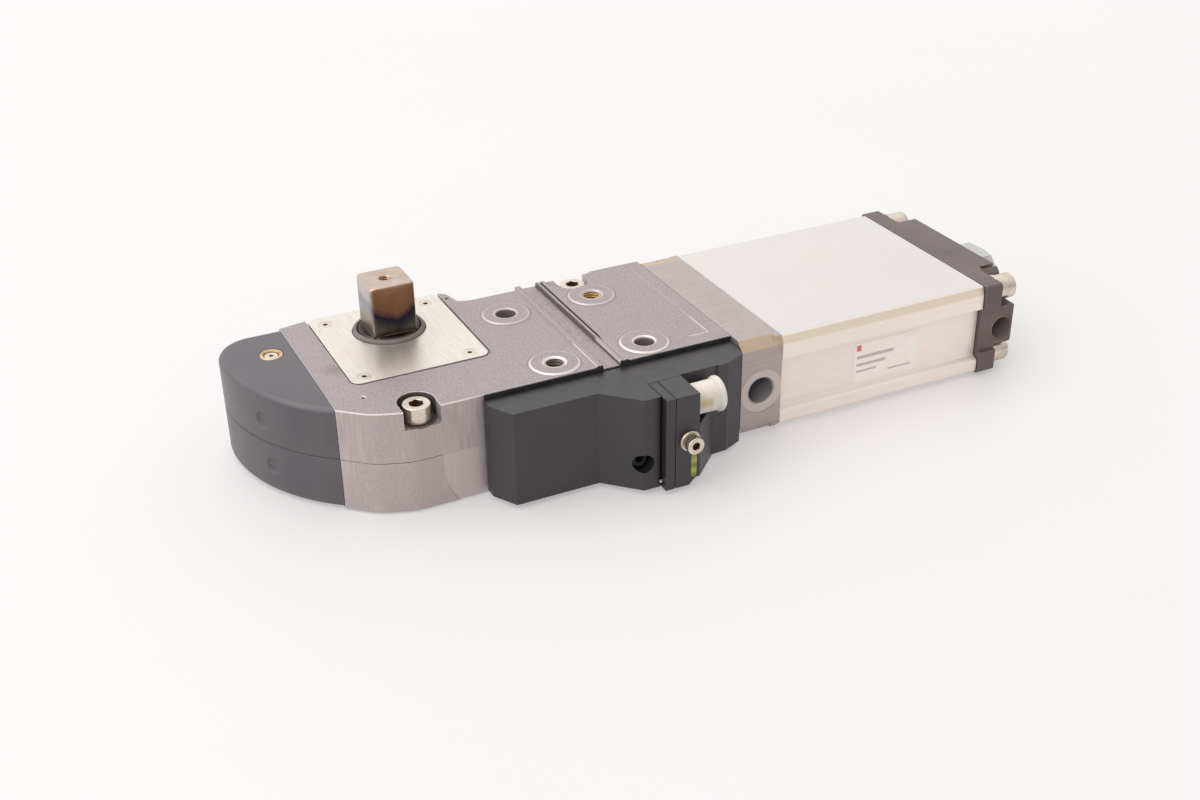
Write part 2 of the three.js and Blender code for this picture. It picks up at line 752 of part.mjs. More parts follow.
function switchBracket() {
  const outline = [
    [18.5, BLOCK_BACK],
    [18.5, -77],
    [25.3, -88.9],
    [66.6, -88.9],
    [81.8, -104.1],
    [90.2, -104.4],
    [90.2, -90.7],
    [107.8, -90.7],
    [107.8, -104.5],
    [110.5, -104.5],
    [125.3, -90.5],
    [133, -90],
    [143, -85.5],
    [145, -78],
    [145, BLOCK_BACK],
  ];
  const headHole = (x) => rodY(6.4, [-86, -70], [x, MID_Z], 16);
  const shape = cut(
    prism(outline, BLOCK_Z),
    box([107.5, 127], [-112, -89.8], [30.5, 60]),
    headHole(STRIKER_X - 3),
    headHole(STRIKER_X - 3 - STROKE),
    rodY(4.7, [-120, -88], [82.3, 16.2], 16),
  );
  return mesh('switch_bracket', shape, blackAnodised());
}

const proximityHead = (name, x) => mesh(name, rodY(6, [-85, -70.6], [x, MID_Z], 16), whitePlastic());

const switchRail = () => {
  const outline = [[90.5, -91], [90.5, -108.6], [91.5, SWITCH_FRONT], [95.2, SWITCH_FRONT], [95.2, -91]];
  return mesh('switch_rail', prism(outline, BLOCK_Z), blackAnodised());
};

const CLAMP_SCREW_AT = [102.4, 26.3];

// slot with round ends for the indicator light, in X and Z
const windowOutline = (margin) => [
  ...arc(105, 17.1, 1.5 + margin, 0, 180, 5),
  ...arc(105, 7.3, 1.5 + margin, 180, 360, 5),
];

function switchHousing() {
  const x = SWITCH_X;
  const front = [
    [x[0], BLOCK_Z[0]],
    [x[1] - 5, BLOCK_Z[0]],
    [x[1], BLOCK_Z[0] + 5],
    [x[1], BLOCK_Z[1]],
    [x[0], BLOCK_Z[1]],
  ];
  const shape = cut(
    prismY(front, [SWITCH_FRONT, -91]),
    rodY(2.2, [-112, -94], CLAMP_SCREW_AT, 12),
    prismY(windowOutline(0.2), [-112, -107.4]),
    rodX(5.2, [103, 109], [-99.5, 41], 16),
  );
  return mesh('switch_housing', shape, blackAnodised());
}

const lightWindow = () => mesh('light_window', prismY(windowOutline(0), [SWITCH_FRONT, -107.7]), amberLens());

const switchWasher = () => {
  const shape = rodY(5, [-110.5, -109.3], CLAMP_SCREW_AT, 16)
    .subtract(rodY(2.3, [-113, -108], CLAMP_SCREW_AT, 12));
  return mesh('switch_washer', shape, plainSteel());
};

function switchScrew() {
  const profile = flipped(socketScrew(4.2, 4.8, 2, 16.2, 2));
  const at = [CLAMP_SCREW_AT[0], -94.5, CLAMP_SCREW_AT[1]];
  return mesh('switch_screw', turned(profile, 'y', at, 12), plainSteel());
}

function connectorShell() {
  const profile = [
    [0, 103.5],
    [4.9, 103.5],
    [4.9, 107.8],
    [6, 107.8],
    [6, 117],
    [4.6, 117],
    [4.6, 112],
    [0, 112],
  ];
  return mesh('connector_shell', turned(profile, 'x', [0, -99.5, 41], 16), brass());
}

function connectorCap() {
  const profile = [
    [0, 119.4],
    [6.4, 119.4],
    [6.4, 108.2],
    [7.4, 108.2],
    [7.4, 120.2],
    [8.4, 120.8],
    [8.4, 122.6],
    [0, 122.6],
  ];
  return mesh('connector_cap', turned(profile, 'x', [0, -99.5, 41], 20), whitePlastic());
}

const plugScrew = () => {
  const shape = rodY(4.3, [-98.5, -89], [82.3, 16.2], 16).subtract(rodY(2.2, [-100, -94], [82.3, 16.2], 6));
  return mesh('bracket_set_screw', shape, rubber());
};

const railPin = () => mesh('rail_pin', rodX(0.9, [88.9, 90.2], [-105.5, 6.2], 8), plainSteel());

// ---------------------------------------------------------------- assembly

function assemble() {
  const group = new THREE.Group();
  group.name = 'power_clamp_cylinder';
  group.add(bodyUpperHalf(), bodyLowerHalf());
  group.add(noseCap('nose_cap_upper', true), noseCap('nose_cap_lower', false));
  group.add(capInsert('cap_insert_upper', true), capInsert('cap_insert_lower', false));
  group.add(capScrew('cap_screw_upper', true), capScrew('cap_screw_lower', false));
  group.add(sealPlate(), scraperRing(), bottomCover());
  let index = 1;
  for (const x of PLATE_SCREW_X) {
    for (const y of PLATE_SCREW_Y) {
      group.add(plateScrew(index, x, y));
      index += 1;
    }
  }
  group.add(shaftBush('shaft_bush_upper', [43.5, 50]), shaftBush('shaft_bush_lower', [3.6, 9.2]));
  group.add(bodyScrew('body_screw_near', nearScrewAt), bodyScrew('body_screw_far', farScrewAt));
  group.add(armShaft(), leverPin(), toggleLink(), knuckle());
  group.add(knucklePin('knuckle_pin_lower', mirrorZ(UPPER_PIN_Z)));
  group.add(knucklePin('knuckle_pin_upper', UPPER_PIN_Z));
  group.add(guideRoller('guide_roller_lower', mirrorZ(UPPER_ROLLER_Z)));
  group.add(guideRoller('guide_roller_upper', UPPER_ROLLER_Z));
  group.add(striker(), pistonRod(), piston(), pistonRing());
  group.add(rodCover(), cylinderTube(), labelPlate(), headCover(), headPlug());
  group.add(ringX('rod_bush', ROD_R + GAP, 12, [146, 154.5], bronze()));
  group.add(ringX('rod_seal', ROD_R + GAP, 12, [154.8, 160.7], rubber()));
  boltPoints().forEach((at, i) => group.add(tieBolt(i + 1, at)));
  group.add(switchGasket(), switchBracket(), switchRail(), switchHousing(), lightWindow());
  group.add(proximityHead('proximity_head_1', STRIKER_X - 3));
  group.add(proximityHead('proximity_head_2', STRIKER_X - 3 - STROKE));
  group.add(switchWasher(), switchScrew(), connectorShell(), connectorCap(), plugScrew(), railPin());
  return group;
}

const assembly = assemble();
export default assembly;
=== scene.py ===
import math

import bmesh
import bpy
from mathutils import Matrix, Vector


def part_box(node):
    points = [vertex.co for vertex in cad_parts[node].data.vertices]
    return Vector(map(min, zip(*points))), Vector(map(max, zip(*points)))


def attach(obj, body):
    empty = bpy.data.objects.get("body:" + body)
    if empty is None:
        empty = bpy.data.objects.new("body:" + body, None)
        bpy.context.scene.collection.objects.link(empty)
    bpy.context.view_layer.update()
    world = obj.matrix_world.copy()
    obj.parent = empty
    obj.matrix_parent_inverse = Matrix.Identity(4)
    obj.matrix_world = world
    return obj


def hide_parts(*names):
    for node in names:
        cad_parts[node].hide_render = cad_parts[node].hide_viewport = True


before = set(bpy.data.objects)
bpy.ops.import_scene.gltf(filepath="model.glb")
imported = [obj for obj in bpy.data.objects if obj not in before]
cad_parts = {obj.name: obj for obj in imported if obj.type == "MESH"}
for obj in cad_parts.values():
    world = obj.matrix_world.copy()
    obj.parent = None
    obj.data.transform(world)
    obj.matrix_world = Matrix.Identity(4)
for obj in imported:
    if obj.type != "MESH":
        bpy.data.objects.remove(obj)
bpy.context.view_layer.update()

MM = 0.001
MID_Z = 26.3
BODY_LOW, BODY_TOP = 0.7, 51.9
PAD_TOP = 52.6
CYL_Y = -27.0
NOSE_X = -44.3
BODY_END = 145.3
SHAFT_X, SHAFT_Y = 3.5, 11.5
HEAD_BLOCK_END = 309.5


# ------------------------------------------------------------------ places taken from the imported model

def low_high(node):
    lo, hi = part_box(node)
    return [v / MM for v in lo], [v / MM for v in hi]


def centre(node):
    lo, hi = low_high(node)
    return [(a + b) / 2 for a, b in zip(lo, hi)]


# ------------------------------------------------------------------ mesh tools, in millimetres

def to_object(bm, name="work"):
    bmesh.ops.recalc_face_normals(bm, faces=bm.faces)
    me = bpy.data.meshes.new(name)
    bm.to_mesh(me)
    bm.free()
    ob = bpy.data.objects.new(name, me)
    bpy.context.scene.collection.objects.link(ob)
    return ob


def loft(rings):
    """Closed rings of equal length, joined by quads, with flat ends."""
    bm = bmesh.new()
    made = [[bm.verts.new(p) for p in ring] for ring in rings]
    n = len(rings[0])
    for a, b in zip(made, made[1:]):
        for i in range(n):
            j = (i + 1) % n
            bm.faces.new((a[i], a[j], b[j], b[i]))
    bm.faces.new(made[0][::-1])
    bm.faces.new(made[-1])
    return to_object(bm)


def prism(points, z, plane="xy"):
    order = {
        "xy": lambda p, h: (p[0], p[1], h),
        "yz": lambda p, h: (h, p[0], p[1]),
        "xz": lambda p, h: (p[0], h, p[1]),
    }[plane]
    return loft([[order(p, h) for p in points] for h in z])


def rectangle(x, y):
    return [(x[0], y[0]), (x[1], y[0]), (x[1], y[1]), (x[0], y[1])]


def block(x, y, z):
    return prism(rectangle(x, y), z)


def lathe(profile, axis="z", at=(0, 0, 0), n=48, flute=0.0, flute_span=None):
    """Revolves (radius, height) pairs; flute narrows every other line of vertices within flute_span."""
    def place(r, a, h):
        u, v = r * math.cos(a), r * math.sin(a)
        p = {"z": (u, v, h), "x": (h, u, v), "y": (v, h, u)}[axis]
        return (p[0] + at[0], p[1] + at[1], p[2] + at[2])

    bm = bmesh.new()
    rings = []
    closed = profile[0] == profile[-1]
    for r, h in profile[:-1] if closed else profile:
        if r < 1e-6:
            rings.append([bm.verts.new(place(0, 0, h))])
            continue
        ring = []
        for i in range(n):
            dip = flute if flute_span and flute_span[0] <= h <= flute_span[1] and i % 2 else 0.0
            ring.append(bm.verts.new(place(r - dip, 2 * math.pi * i / n, h)))
        rings.append(ring)
    if closed:
        rings.append(rings[0])
        profile = list(profile[:-1]) + [profile[0]]
    for k in range(len(rings) - 1):
        a, b = rings[k], rings[k + 1]
        if len(a) == 1 and len(b) == 1:
            continue
        if len(a) == 1 or len(b) == 1:
            pole, ring = (a[0], b) if len(a) == 1 else (b[0], a)
            if abs(profile[k][1] - profile[k + 1][1]) < 1e-6:
                bm.faces.new(ring)
            else:
                for i in range(n):
                    bm.faces.new((ring[i], ring[(i + 1) % n], pole))
            continue
        for i in range(n):
            j = (i + 1) % n
            bm.faces.new((a[i], a[j], b[j], b[i]))
    loose = [v for v in bm.verts if not v.link_faces]
    bmesh.ops.delete(bm, geom=loose, context="VERTS")
    return to_object(bm)


def rod(r, span, axis="z", at=(0, 0, 0), n=48):
    return lathe([(0, span[0]), (r, span[0]), (r, span[1]), (0, span[1])], axis, at, n)


def arc(cx, cy, r, start, end, steps):
    out = []
    for i in range(steps + 1):
        a = math.radians(start + (end - start) * i / steps)
        out.append((cx + r * math.cos(a), cy + r * math.sin(a)))
    return out


def rounded(points, radii, steps=5):
    """Rounds the corners of an outline; radii is one number or one for each corner."""
    n = len(points)
    if not isinstance(radii, (list, tuple)):
        radii = [radii] * n
    out = []
    for i, p in enumerate(points):
        r = radii[i]
        if r <= 0:
            out.append(tuple(p))
            continue
        here = Vector(p)
        a = (Vector(points[i - 1]) - here).normalized()
        b = (Vector(points[(i + 1) % n]) - here).normalized()
        half = math.acos(max(-1, min(1, a.dot(b)))) / 2
        reach = r / math.tan(half)
        middle = here + (a + b).normalized() * (r / math.sin(half))
        first, last = here + a * reach - middle, here + b * reach - middle
        start = math.atan2(first.y, first.x)
        turn = math.atan2(last.y, last.x) - start
        turn = (turn + math.pi) % (2 * math.pi) - math.pi
        for k in range(steps + 1):
            t = start + turn * k / steps
            out.append((middle.x + r * math.cos(t), middle.y + r * math.sin(t)))
    return out


def slot_outline(x, z, r):
    return arc(x, z[1], r, 0, 180, 12) + arc(x, z[0], r, 180, 360, 12)


def hexagon(cx, cy, across_flats, phase=0.0):
    r = across_flats / math.sqrt(3)
    angles = [phase + math.pi * k / 3 for k in range(6)]
    return [(cx + r * math.cos(a), cy + r * math.sin(a)) for a in angles]


def bake(ob):
    graph = bpy.context.evaluated_depsgraph_get()
    fresh = bpy.data.meshes.new_from_object(ob.evaluated_get(graph))
    old = ob.data
    ob.modifiers.clear()
    ob.data = fresh
    bpy.data.meshes.remove(old)


def boolean(base, tools, operation):
    for tool in tools:
        mod = base.modifiers.new("shape", "BOOLEAN")
        mod.operation = operation
        mod.solver = "EXACT"
        mod.object = tool
    bake(base)
    for tool in tools:
        me = tool.data
        bpy.data.objects.remove(tool)
        bpy.data.meshes.remove(me)
    return base


def cut(base, *tools):
    return boolean(base, tools, "DIFFERENCE")


def join(base, *tools):
    return boolean(base, tools, "UNION")


def keep(base, tool):
    return boolean(base, [tool], "INTERSECT")


def hole_mouth(r, mouth, sign, flare):
    """The countersunk end of a hole's cutter, running a little past the surface."""
    wide = r + flare
    return [(r, mouth - sign * flare), (wide, mouth), (wide, mouth + sign), (0, mouth + sign)]


def thread_hole(r, bottom, mouth, pitch, axis, at, flare=0.7, n=40):
    """A cutter for a threaded hole: rings of thread below a small countersink. mouth may be below bottom."""
    sign = 1 if mouth > bottom else -1
    profile = [(0, bottom), (r - 0.5 * pitch, bottom)]
    h = bottom + sign * pitch
    while (mouth - sign * (flare + 0.6 * pitch) - h) * sign > 0:
        profile += [(r - 0.5 * pitch, h), (r, h + sign * pitch / 2)]
        h += sign * pitch
    profile += [(r - 0.5 * pitch, h)]
    return lathe(profile + hole_mouth(r, mouth, sign, flare), axis, at, n)


def plain_hole(r, bottom, mouth, axis, at, flare=0.5, n=48):
    sign = 1 if mouth > bottom else -1
    return lathe([(0, bottom), (r, bottom)] + hole_mouth(r, mouth, sign, flare), axis, at, n)


def piece(ob, name, paint, nodes, body="housing", bevel=0.35, segments=2, angle=28, smooth=50):
    """Rounds the edges, scales to metres and hands the piece to the frame."""
    ob.name = name
    ob.data.name = name
    bm = bmesh.new()
    bm.from_mesh(ob.data)
    bmesh.ops.remove_doubles(bm, verts=bm.verts, dist=1e-4)
    bmesh.ops.dissolve_limit(bm, angle_limit=math.radians(0.4), verts=bm.verts, edges=bm.edges)
    bm.to_mesh(ob.data)
    bm.free()
    if bevel > 0:
        mod = ob.modifiers.new("edges", "BEVEL")
        mod.width = bevel
        mod.segments = segments
        mod.limit_method = "ANGLE"
        mod.angle_limit = math.radians(angle)
        mod.use_clamp_overlap = True
        mod.miter_outer = "MITER_ARC"
        bake(ob)
    ob.data.transform(Matrix.Scale(MM, 4))
    ob.data.polygons.foreach_set("use_smooth", [True] * len(ob.data.polygons))
    ob.data.set_sharp_from_angle(angle=math.radians(smooth))
    mod = ob.modifiers.new("normals", "WEIGHTED_NORMAL")
    mod.keep_sharp = True
    bake(ob)
    ob.data.materials.clear()
    for m in paint if isinstance(paint, (list, tuple)) else [paint]:
        ob.data.materials.append(m)
    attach(ob, body)
    if nodes:
        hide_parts(*nodes)
    return ob


# ------------------------------------------------------------------ materials

def srgb(r, g, b):
    def lin(c):
        c /= 255
        return c / 12.92 if c <= 0.04045 else ((c + 0.055) / 1.055) ** 2.4
    return (lin(r), lin(g), lin(b), 1.0)


class Paint:
    """A node material made of object-space patterns."""

    def __init__(self, name, metallic=0.0, roughness=0.5, **sockets):
        self.mat = bpy.data.materials.new(name)
        self.mat.use_nodes = True
        self.tree = self.mat.node_tree
        self.shader = self.tree.nodes["Principled BSDF"]
        self.shader.inputs["Metallic"].default_value = metallic
        self.shader.inputs["Roughness"].default_value = roughness
        for key, value in sockets.items():
            self.shader.inputs[key.replace("_", " ")].default_value = value
        self.space = self.tree.nodes.new("ShaderNodeTexCoord").outputs["Object"]

    def link(self, a, b):
        self.tree.links.new(a, b)

    def node(self, kind, **settings):
        node = self.tree.nodes.new(kind)
        for key, value in settings.items():
            setattr(node, key, value)
        return node

    def feed(self, node, sources):
        """Sets or links the inputs that sources names."""
        for key, source in sources.items():
            if isinstance(source, (int, float, tuple)):
                node.inputs[key].default_value = source
            else:
                self.link(source, node.inputs[key])
        return node.outputs

    def stretched(self, scale):
        return self.feed(self.node("ShaderNodeMapping"), {"Vector": self.space, "Scale": scale})["Vector"]

    def noise(self, scale, detail=3.0, stretch=None, rough=0.55):
        space = self.stretched(stretch) if stretch else self.space
        sources = {"Vector": space, "Scale": scale, "Detail": detail, "Roughness": rough}
        return self.feed(self.node("ShaderNodeTexNoise"), sources)["Fac"]

    def ramp(self, factor, stops):
        node = self.node("ShaderNodeValToRGB")
        self.link(factor, node.inputs["Fac"])
        elements = node.color_ramp.elements
        while len(elements) < len(stops):
            elements.new(0.5)
        for element, (position, colour) in zip(elements, stops):
            element.position = position
            element.color = colour
        return node.outputs["Color"]

    def two_tones(self, factor, dark, light):
        return self.ramp(factor, [(0.3, srgb(*dark)), (0.7, srgb(*light))])

    def grey(self, factor, low, high, from_low=0.3, from_high=0.7):
        sources = {"Value": factor, "From Min": from_low, "From Max": from_high, "To Min": low, "To Max": high}
        return self.feed(self.node("ShaderNodeMapRange"), sources)["Result"]

    def above(self, value, start, end):
        """Rises from 0 at start to 1 at end."""
        return self.grey(value, 0.0, 1.0, start, end)

    def below(self, value, start, end):
        """Falls from 1 at start to 0 at end."""
        return self.grey(value, 1.0, 0.0, start, end)

    def mix(self, factor, a, b):
        return self.feed(self.node("ShaderNodeMix", data_type="RGBA"), {0: factor, 6: a, 7: b})[2]

    def over(self, colour, mask, tint, share=1.0):
        """Lays share of a tint over colour where mask is 1."""
        if share < 1.0:
            mask = self.times(mask, share)
        return self.mix(mask, colour, srgb(*tint))

    def math(self, operation, a, b=0.0):
        return self.feed(self.node("ShaderNodeMath", operation=operation), {0: a, 1: b})[0]

    def times(self, *factors):
        product = factors[0]
        for factor in factors[1:]:
            product = self.math("MULTIPLY", product, factor)
        return product

    def axes(self):
        node = self.node("ShaderNodeSeparateXYZ")
        self.link(self.space, node.inputs[0])
        return node.outputs

    def spot(self, at, r, across=(0, 1), soft=0.3):
        """1 within r millimetres of a line through at, along the axis that isn't in across."""
        coords = self.axes()
        squares = []
        for axis, middle in zip(across, at):
            away = self.math("SUBTRACT", coords[axis], middle * MM)
            squares.append(self.math("MULTIPLY", away, away))
        distance = self.math("SQRT", self.math("ADD", *squares))
        return self.grey(distance, 1.0, 0.0, (r - soft) * MM, r * MM)

    def facing(self):
        """X, Y and Z of the surface's own direction in the object."""
        geometry = self.node("ShaderNodeNewGeometry")
        turn = self.node("ShaderNodeVectorTransform", vector_type="NORMAL")
        turn.convert_from, turn.convert_to = "WORLD", "OBJECT"
        self.link(geometry.outputs["Normal"], turn.inputs[0])
        node = self.node("ShaderNodeSeparateXYZ")
        self.link(turn.outputs[0], node.inputs[0])
        return node.outputs

    def edge(self, reach=0.5, low=0.02, high=0.2):
        """Rises towards 1 within reach millimetres of a corner; the paints use it for a painted highlight
        along edges, partly also wear.
        """
        bevel = self.node("ShaderNodeBevel", samples=4)
        bevel.inputs["Radius"].default_value = reach * MM
        geometry = self.node("ShaderNodeNewGeometry")
        dot = self.node("ShaderNodeVectorMath", operation="DOT_PRODUCT")
        self.link(bevel.outputs["Normal"], dot.inputs[0])
        self.link(geometry.outputs["Normal"], dot.inputs[1])
        return self.grey(self.math("SUBTRACT", 1.0, dot.outputs["Value"]), 0.0, 1.0, low, high)

    def colour(self, source):
        self.link(source, self.shader.inputs["Base Color"])

    def rough(self, factor, low, high):
        self.link(self.grey(factor, low, high), self.shader.inputs["Roughness"])

    def bumps(self, *layers):
        """Each layer is (height, strength, distance in metres)."""
        last = None
        for height, strength, distance in layers:
            sources = {"Strength": strength, "Distance": distance, "Height": height}
            if last:
                sources["Normal"] = last
            last = self.feed(self.node("ShaderNodeBump"), sources)["Normal"]
        self.link(last, self.shader.inputs["Normal"])


def cast_paint():
    p = Paint("cast_aluminium", metallic=0.62)
    grain = p.noise(1500, 4)
    patch = p.noise(34, 3, rough=0.6)
    tone = p.ramp(grain, [(0.3, srgb(128, 119, 119)), (0.5, srgb(157, 147, 148)), (0.7, srgb(181, 172, 173))])
    streaks = p.noise(900, 2, stretch=(1.0, 1.0, 0.06))
    ground = p.ramp(streaks, [(0.35, srgb(170, 159, 158)), (0.65, srgb(184, 174, 173))])
    side = p.math("ABSOLUTE", p.facing()[2])
    upright = p.below(side, 0.3, 0.6)
    # painted light: upright faces are blended towards a lighter tone
    tone = p.mix(p.times(upright, 0.45), tone, srgb(196, 184, 182))
    worn = p.times(p.above(patch, 0.5, 0.54), p.below(side, 0.3, 0.6))
    colour = p.mix(worn, tone, ground)
    stain = p.grey(p.noise(22, 5, rough=0.7), 0.0, 0.16, 0.58, 0.78)
    colour = p.over(colour, stain, (122, 100, 88))
    level = p.axes()[2]
    flat = p.times(p.spot((27.3, 20.1), 29.4, (0, 2)), p.below(p.axes()[1], -0.0694, -0.0692))
    flat = p.times(flat, p.below(level, 0.0262, 0.0264))
    colour = p.over(colour, flat, (194, 184, 181), 0.75)
    colour = p.over(colour, p.spot((-33, -17), 7, soft=5), (116, 92, 76), 0.35)
    # painted highlight along the edges, partly also wear
    colour = p.over(colour, p.edge(0.35, 0.01, 0.12), (214, 206, 200))
    # painted shade along the grooves beside the ridges, and a painted highlight along the near top edge
    for middle, half, low in ((89.0, 0.55, 51.3), (86.8, 0.35, 50.0), (78.2, 0.35, 50.0)):
        away = p.math("ABSOLUTE", p.math("SUBTRACT", p.axes()[0], middle * MM))
        across = p.below(away, half * MM, (half + 0.15) * MM)
        groove_shade = p.times(across, p.above(level, (low - 0.1) * MM, low * MM))
        colour = p.over(colour, groove_shade, (84, 76, 75), 0.75)
    # painted highlight: a bright line along the near top edge
    top_edge_highlight = p.times(p.above(level, 0.0511, 0.0513), p.below(p.facing()[2], 0.9, 0.97))
    top_edge_highlight = p.times(top_edge_highlight, p.below(p.axes()[1], -0.046, -0.042))
    colour = p.over(colour, top_edge_highlight, (244, 238, 233), 0.85)
    # the dark tints inside the holes and the screw well, below the top face, are painted shade
    below = p.times(p.below(level, 0.0512, 0.0518), p.above(level, 0.0420, 0.0424))
    above = p.above(level, 0.0517, 0.0519)
    for x, y, r, tint in (
        (59.5, 0, 5.1, (86, 79, 77)), (59.5, -57.5, 5.1, (108, 100, 96)), (106, 0, 5.1, (190, 156, 92)),
        (106, -57.5, 5.1, (86, 79, 77)), (-9.6, -61.5, 8.9, (108, 100, 94)),
    ):
        if r < 8:
            # painted highlight: bright rings on the pad rims and the hole chamfers
            for rim, outer, inner in ((0.55, 12.0, 11.1), (0.45, 6.2, 5.2)):
                ring = p.times(p.spot((x, y), outer), p.math("SUBTRACT", 1.0, p.spot((x, y), inner)))
                colour = p.over(colour, p.times(ring, above), (222, 214, 208), rim)
            # painted shade: a darker ring round the foot of each pad
            pad_foot_shade = p.times(p.spot((x, y), 12.9), p.math("SUBTRACT", 1.0, p.spot((x, y), 11.95)))
            colour = p.over(colour, p.times(pad_foot_shade, p.times(above, 0.3)), (104, 95, 94))
        colour = p.over(colour, p.times(p.spot((x, y), r), below), tint)
    p.colour(colour)
    p.rough(grain, 0.42, 0.6)
    p.bumps((grain, 0.35, 0.00012), (patch, 0.25, 0.0003))
    return p.mat


def rod_cover_paint():
    p = Paint("machined_cover", metallic=0.7)
    lines = p.noise(1400, 2, stretch=(0.05, 1.0, 1.0))
    patch = p.noise(60, 4)
    tones = [(0.3, srgb(166, 157, 154)), (0.55, srgb(172, 163, 160)), (0.75, srgb(178, 169, 166))]
    colour = p.ramp(lines, tones)
    colour = p.over(colour, p.grey(patch, 0.0, 0.3, 0.5, 0.75), (160, 149, 142))
    slope = p.facing()[2]
    band = p.times(p.above(slope, 0.2, 0.45), p.below(slope, 0.9, 0.97))
    band = p.times(band, p.above(p.axes()[2], 0.0455, 0.0475))
    # painted highlight: a warm band on the upper chamfers
    colour = p.over(colour, band, (196, 172, 142), 0.75)
    # painted highlight along the edges, partly also wear
    colour = p.over(colour, p.edge(), (200, 188, 176))
    far_patch = p.times(p.above(slope, 0.97, 0.99), p.above(p.axes()[1], 0.0175, 0.0185))
    colour = p.over(colour, far_patch, (196, 172, 142), 0.6)
    front = p.below(p.axes()[1], -0.0806, -0.0804)
    colour = p.over(colour, p.times(p.spot((157.3, 24), 11.4, (0, 2)), front), (192, 184, 180))
    # painted shade inside the port
    inside = p.times(p.spot((157.3, 24), 6.9, (0, 2)), p.above(p.axes()[1], -0.0808, -0.0806))
    colour = p.over(colour, inside, (112, 108, 110))
    p.colour(colour)
    p.rough(patch, 0.36, 0.52)
    p.bumps((lines, 0.1, 0.00004), (p.noise(2200, 2), 0.12, 0.00005))
    return p.mat


def cap_paint():
    p = Paint("cap_plastic", roughness=0.42, Specular_IOR_Level=0.75)
    fine = p.noise(2600, 2)
    patch = p.noise(45, 4)
    colour = p.two_tones(patch, (66, 61, 66), (80, 74, 79))
    # painted highlight along the edges, partly also wear
    colour = p.over(colour, p.edge(), (104, 98, 102))
    p.colour(colour)
    p.rough(patch, 0.36, 0.5)
    p.bumps((fine, 0.12, 0.00006))
    return p.mat


def plate_paint():
    p = Paint("brushed_plate", metallic=0.85)
    lines = p.noise(2400, 2, stretch=(1.0, 0.035, 1.0))
    patch = p.noise(30, 3)
    colour = p.two_tones(lines, (206, 201, 193), (225, 220, 213))
    p.colour(p.over(colour, p.grey(patch, 0.0, 0.3), (214, 206, 190)))
    p.rough(patch, 0.34, 0.46)
    p.bumps((lines, 0.12, 0.00003))
    return p.mat


def screw_paint(name="bright_screw", tint=(204, 194, 180), warm=(170, 148, 120)):
    p = Paint(name, metallic=0.95)
    fine = p.noise(900, 3)
    patch = p.noise(160, 4)
    colour = p.ramp(patch, [(0.3, srgb(*tint)), (0.75, srgb(*[min(255, c + 26) for c in tint]))])
    p.colour(p.over(colour, p.grey(p.noise(300, 2), 0.0, 0.25), warm))
    p.rough(fine, 0.2, 0.36)
    p.bumps((fine, 0.1, 0.00004))
    return p.mat


def machine_steel_paint():
    p = Paint("ground_steel", metallic=0.95)
    lines = p.noise(1600, 2, stretch=(0.1, 1.0, 1.0))
    patch = p.noise(80, 3)
    colour = p.two_tones(lines, (150, 146, 142), (186, 182, 178))
    p.colour(p.over(colour, p.grey(patch, 0.0, 0.3), (150, 138, 124)))
    p.rough(patch, 0.22, 0.36)
    p.bumps((lines, 0.1, 0.00003))
    return p.mat


def shaft_paint():
    """Hardened steel, tempered brown at the top and blue black below a bowed line; the faces towards ±X get a
    lighter copy of the ramp, which is painted light.
    """
    p = Paint("tinted_shaft", metallic=0.9)
    x, y, z = p.axes()
    direction = p.facing()
    drift = p.times(p.math("SUBTRACT", p.noise(110, 3), 0.5), 0.006)
    bow = p.times(p.math("ABSOLUTE", p.math("SUBTRACT", x, 0.0045)), 0.55)
    level = p.math("ADD", p.math("SUBTRACT", z, bow), drift)
    height = p.above(level, 0.0475, 0.081)
    front = p.ramp(height, [
        (0.0, srgb(74, 66, 62)), (0.16, srgb(92, 86, 82)), (0.3, srgb(54, 52, 56)), (0.38, srgb(34, 36, 52)),
        (0.43, srgb(92, 62, 66)), (0.5, srgb(128, 92, 66)), (0.8, srgb(150, 112, 84)),
        (1.0, srgb(166, 132, 104)),
    ])
    sides = p.ramp(height, [
        (0.0, srgb(120, 110, 104)), (0.3, srgb(150, 142, 138)), (0.44, srgb(132, 132, 142)),
        (0.55, srgb(186, 176, 168)),
        (1.0, srgb(206, 196, 186)),
    ])
    # painted light: faces towards ±X take the lighter ramp
    facing_x = p.above(p.math("ABSOLUTE", direction[0]), 0.5, 0.85)
    colour = p.mix(facing_x, front, sides)
    level_end = p.above(direction[2], 0.6, 0.9)
    high_up = p.math("GREATER_THAN", z, 0.07)
    colour = p.over(colour, p.times(level_end, p.math("LESS_THAN", z, 0.07)), (52, 48, 46))
    top = p.times(level_end, high_up)
    end_tint = p.two_tones(p.noise(140, 4), (172, 154, 140), (196, 180, 168))
    colour = p.mix(top, colour, end_tint)
    # painted highlight along the edges, partly also wear
    colour = p.over(colour, p.edge(), (214, 176, 132))
    p.colour(colour)
    fine = p.noise(1300, 3, stretch=(1.0, 1.0, 0.25))
    p.rough(p.noise(90, 4), 0.26, 0.42)
    p.bumps((fine, 0.16, 0.00005))
    return p.mat


def anodised_black_paint():
    p = Paint("black_anodised", metallic=0.2, Specular_IOR_Level=0.95)
    fine = p.noise(3000, 2)
    patch = p.noise(38, 3)
    colour = p.two_tones(patch, (26, 23, 27), (34, 30, 35))
    # painted highlight along the edges, partly also wear
    colour = p.over(colour, p.edge(0.3), (78, 72, 76))
    p.colour(colour)
    p.rough(p.noise(260, 3), 0.36, 0.46)
    p.bumps((fine, 0.1, 0.00004))
    return p.mat


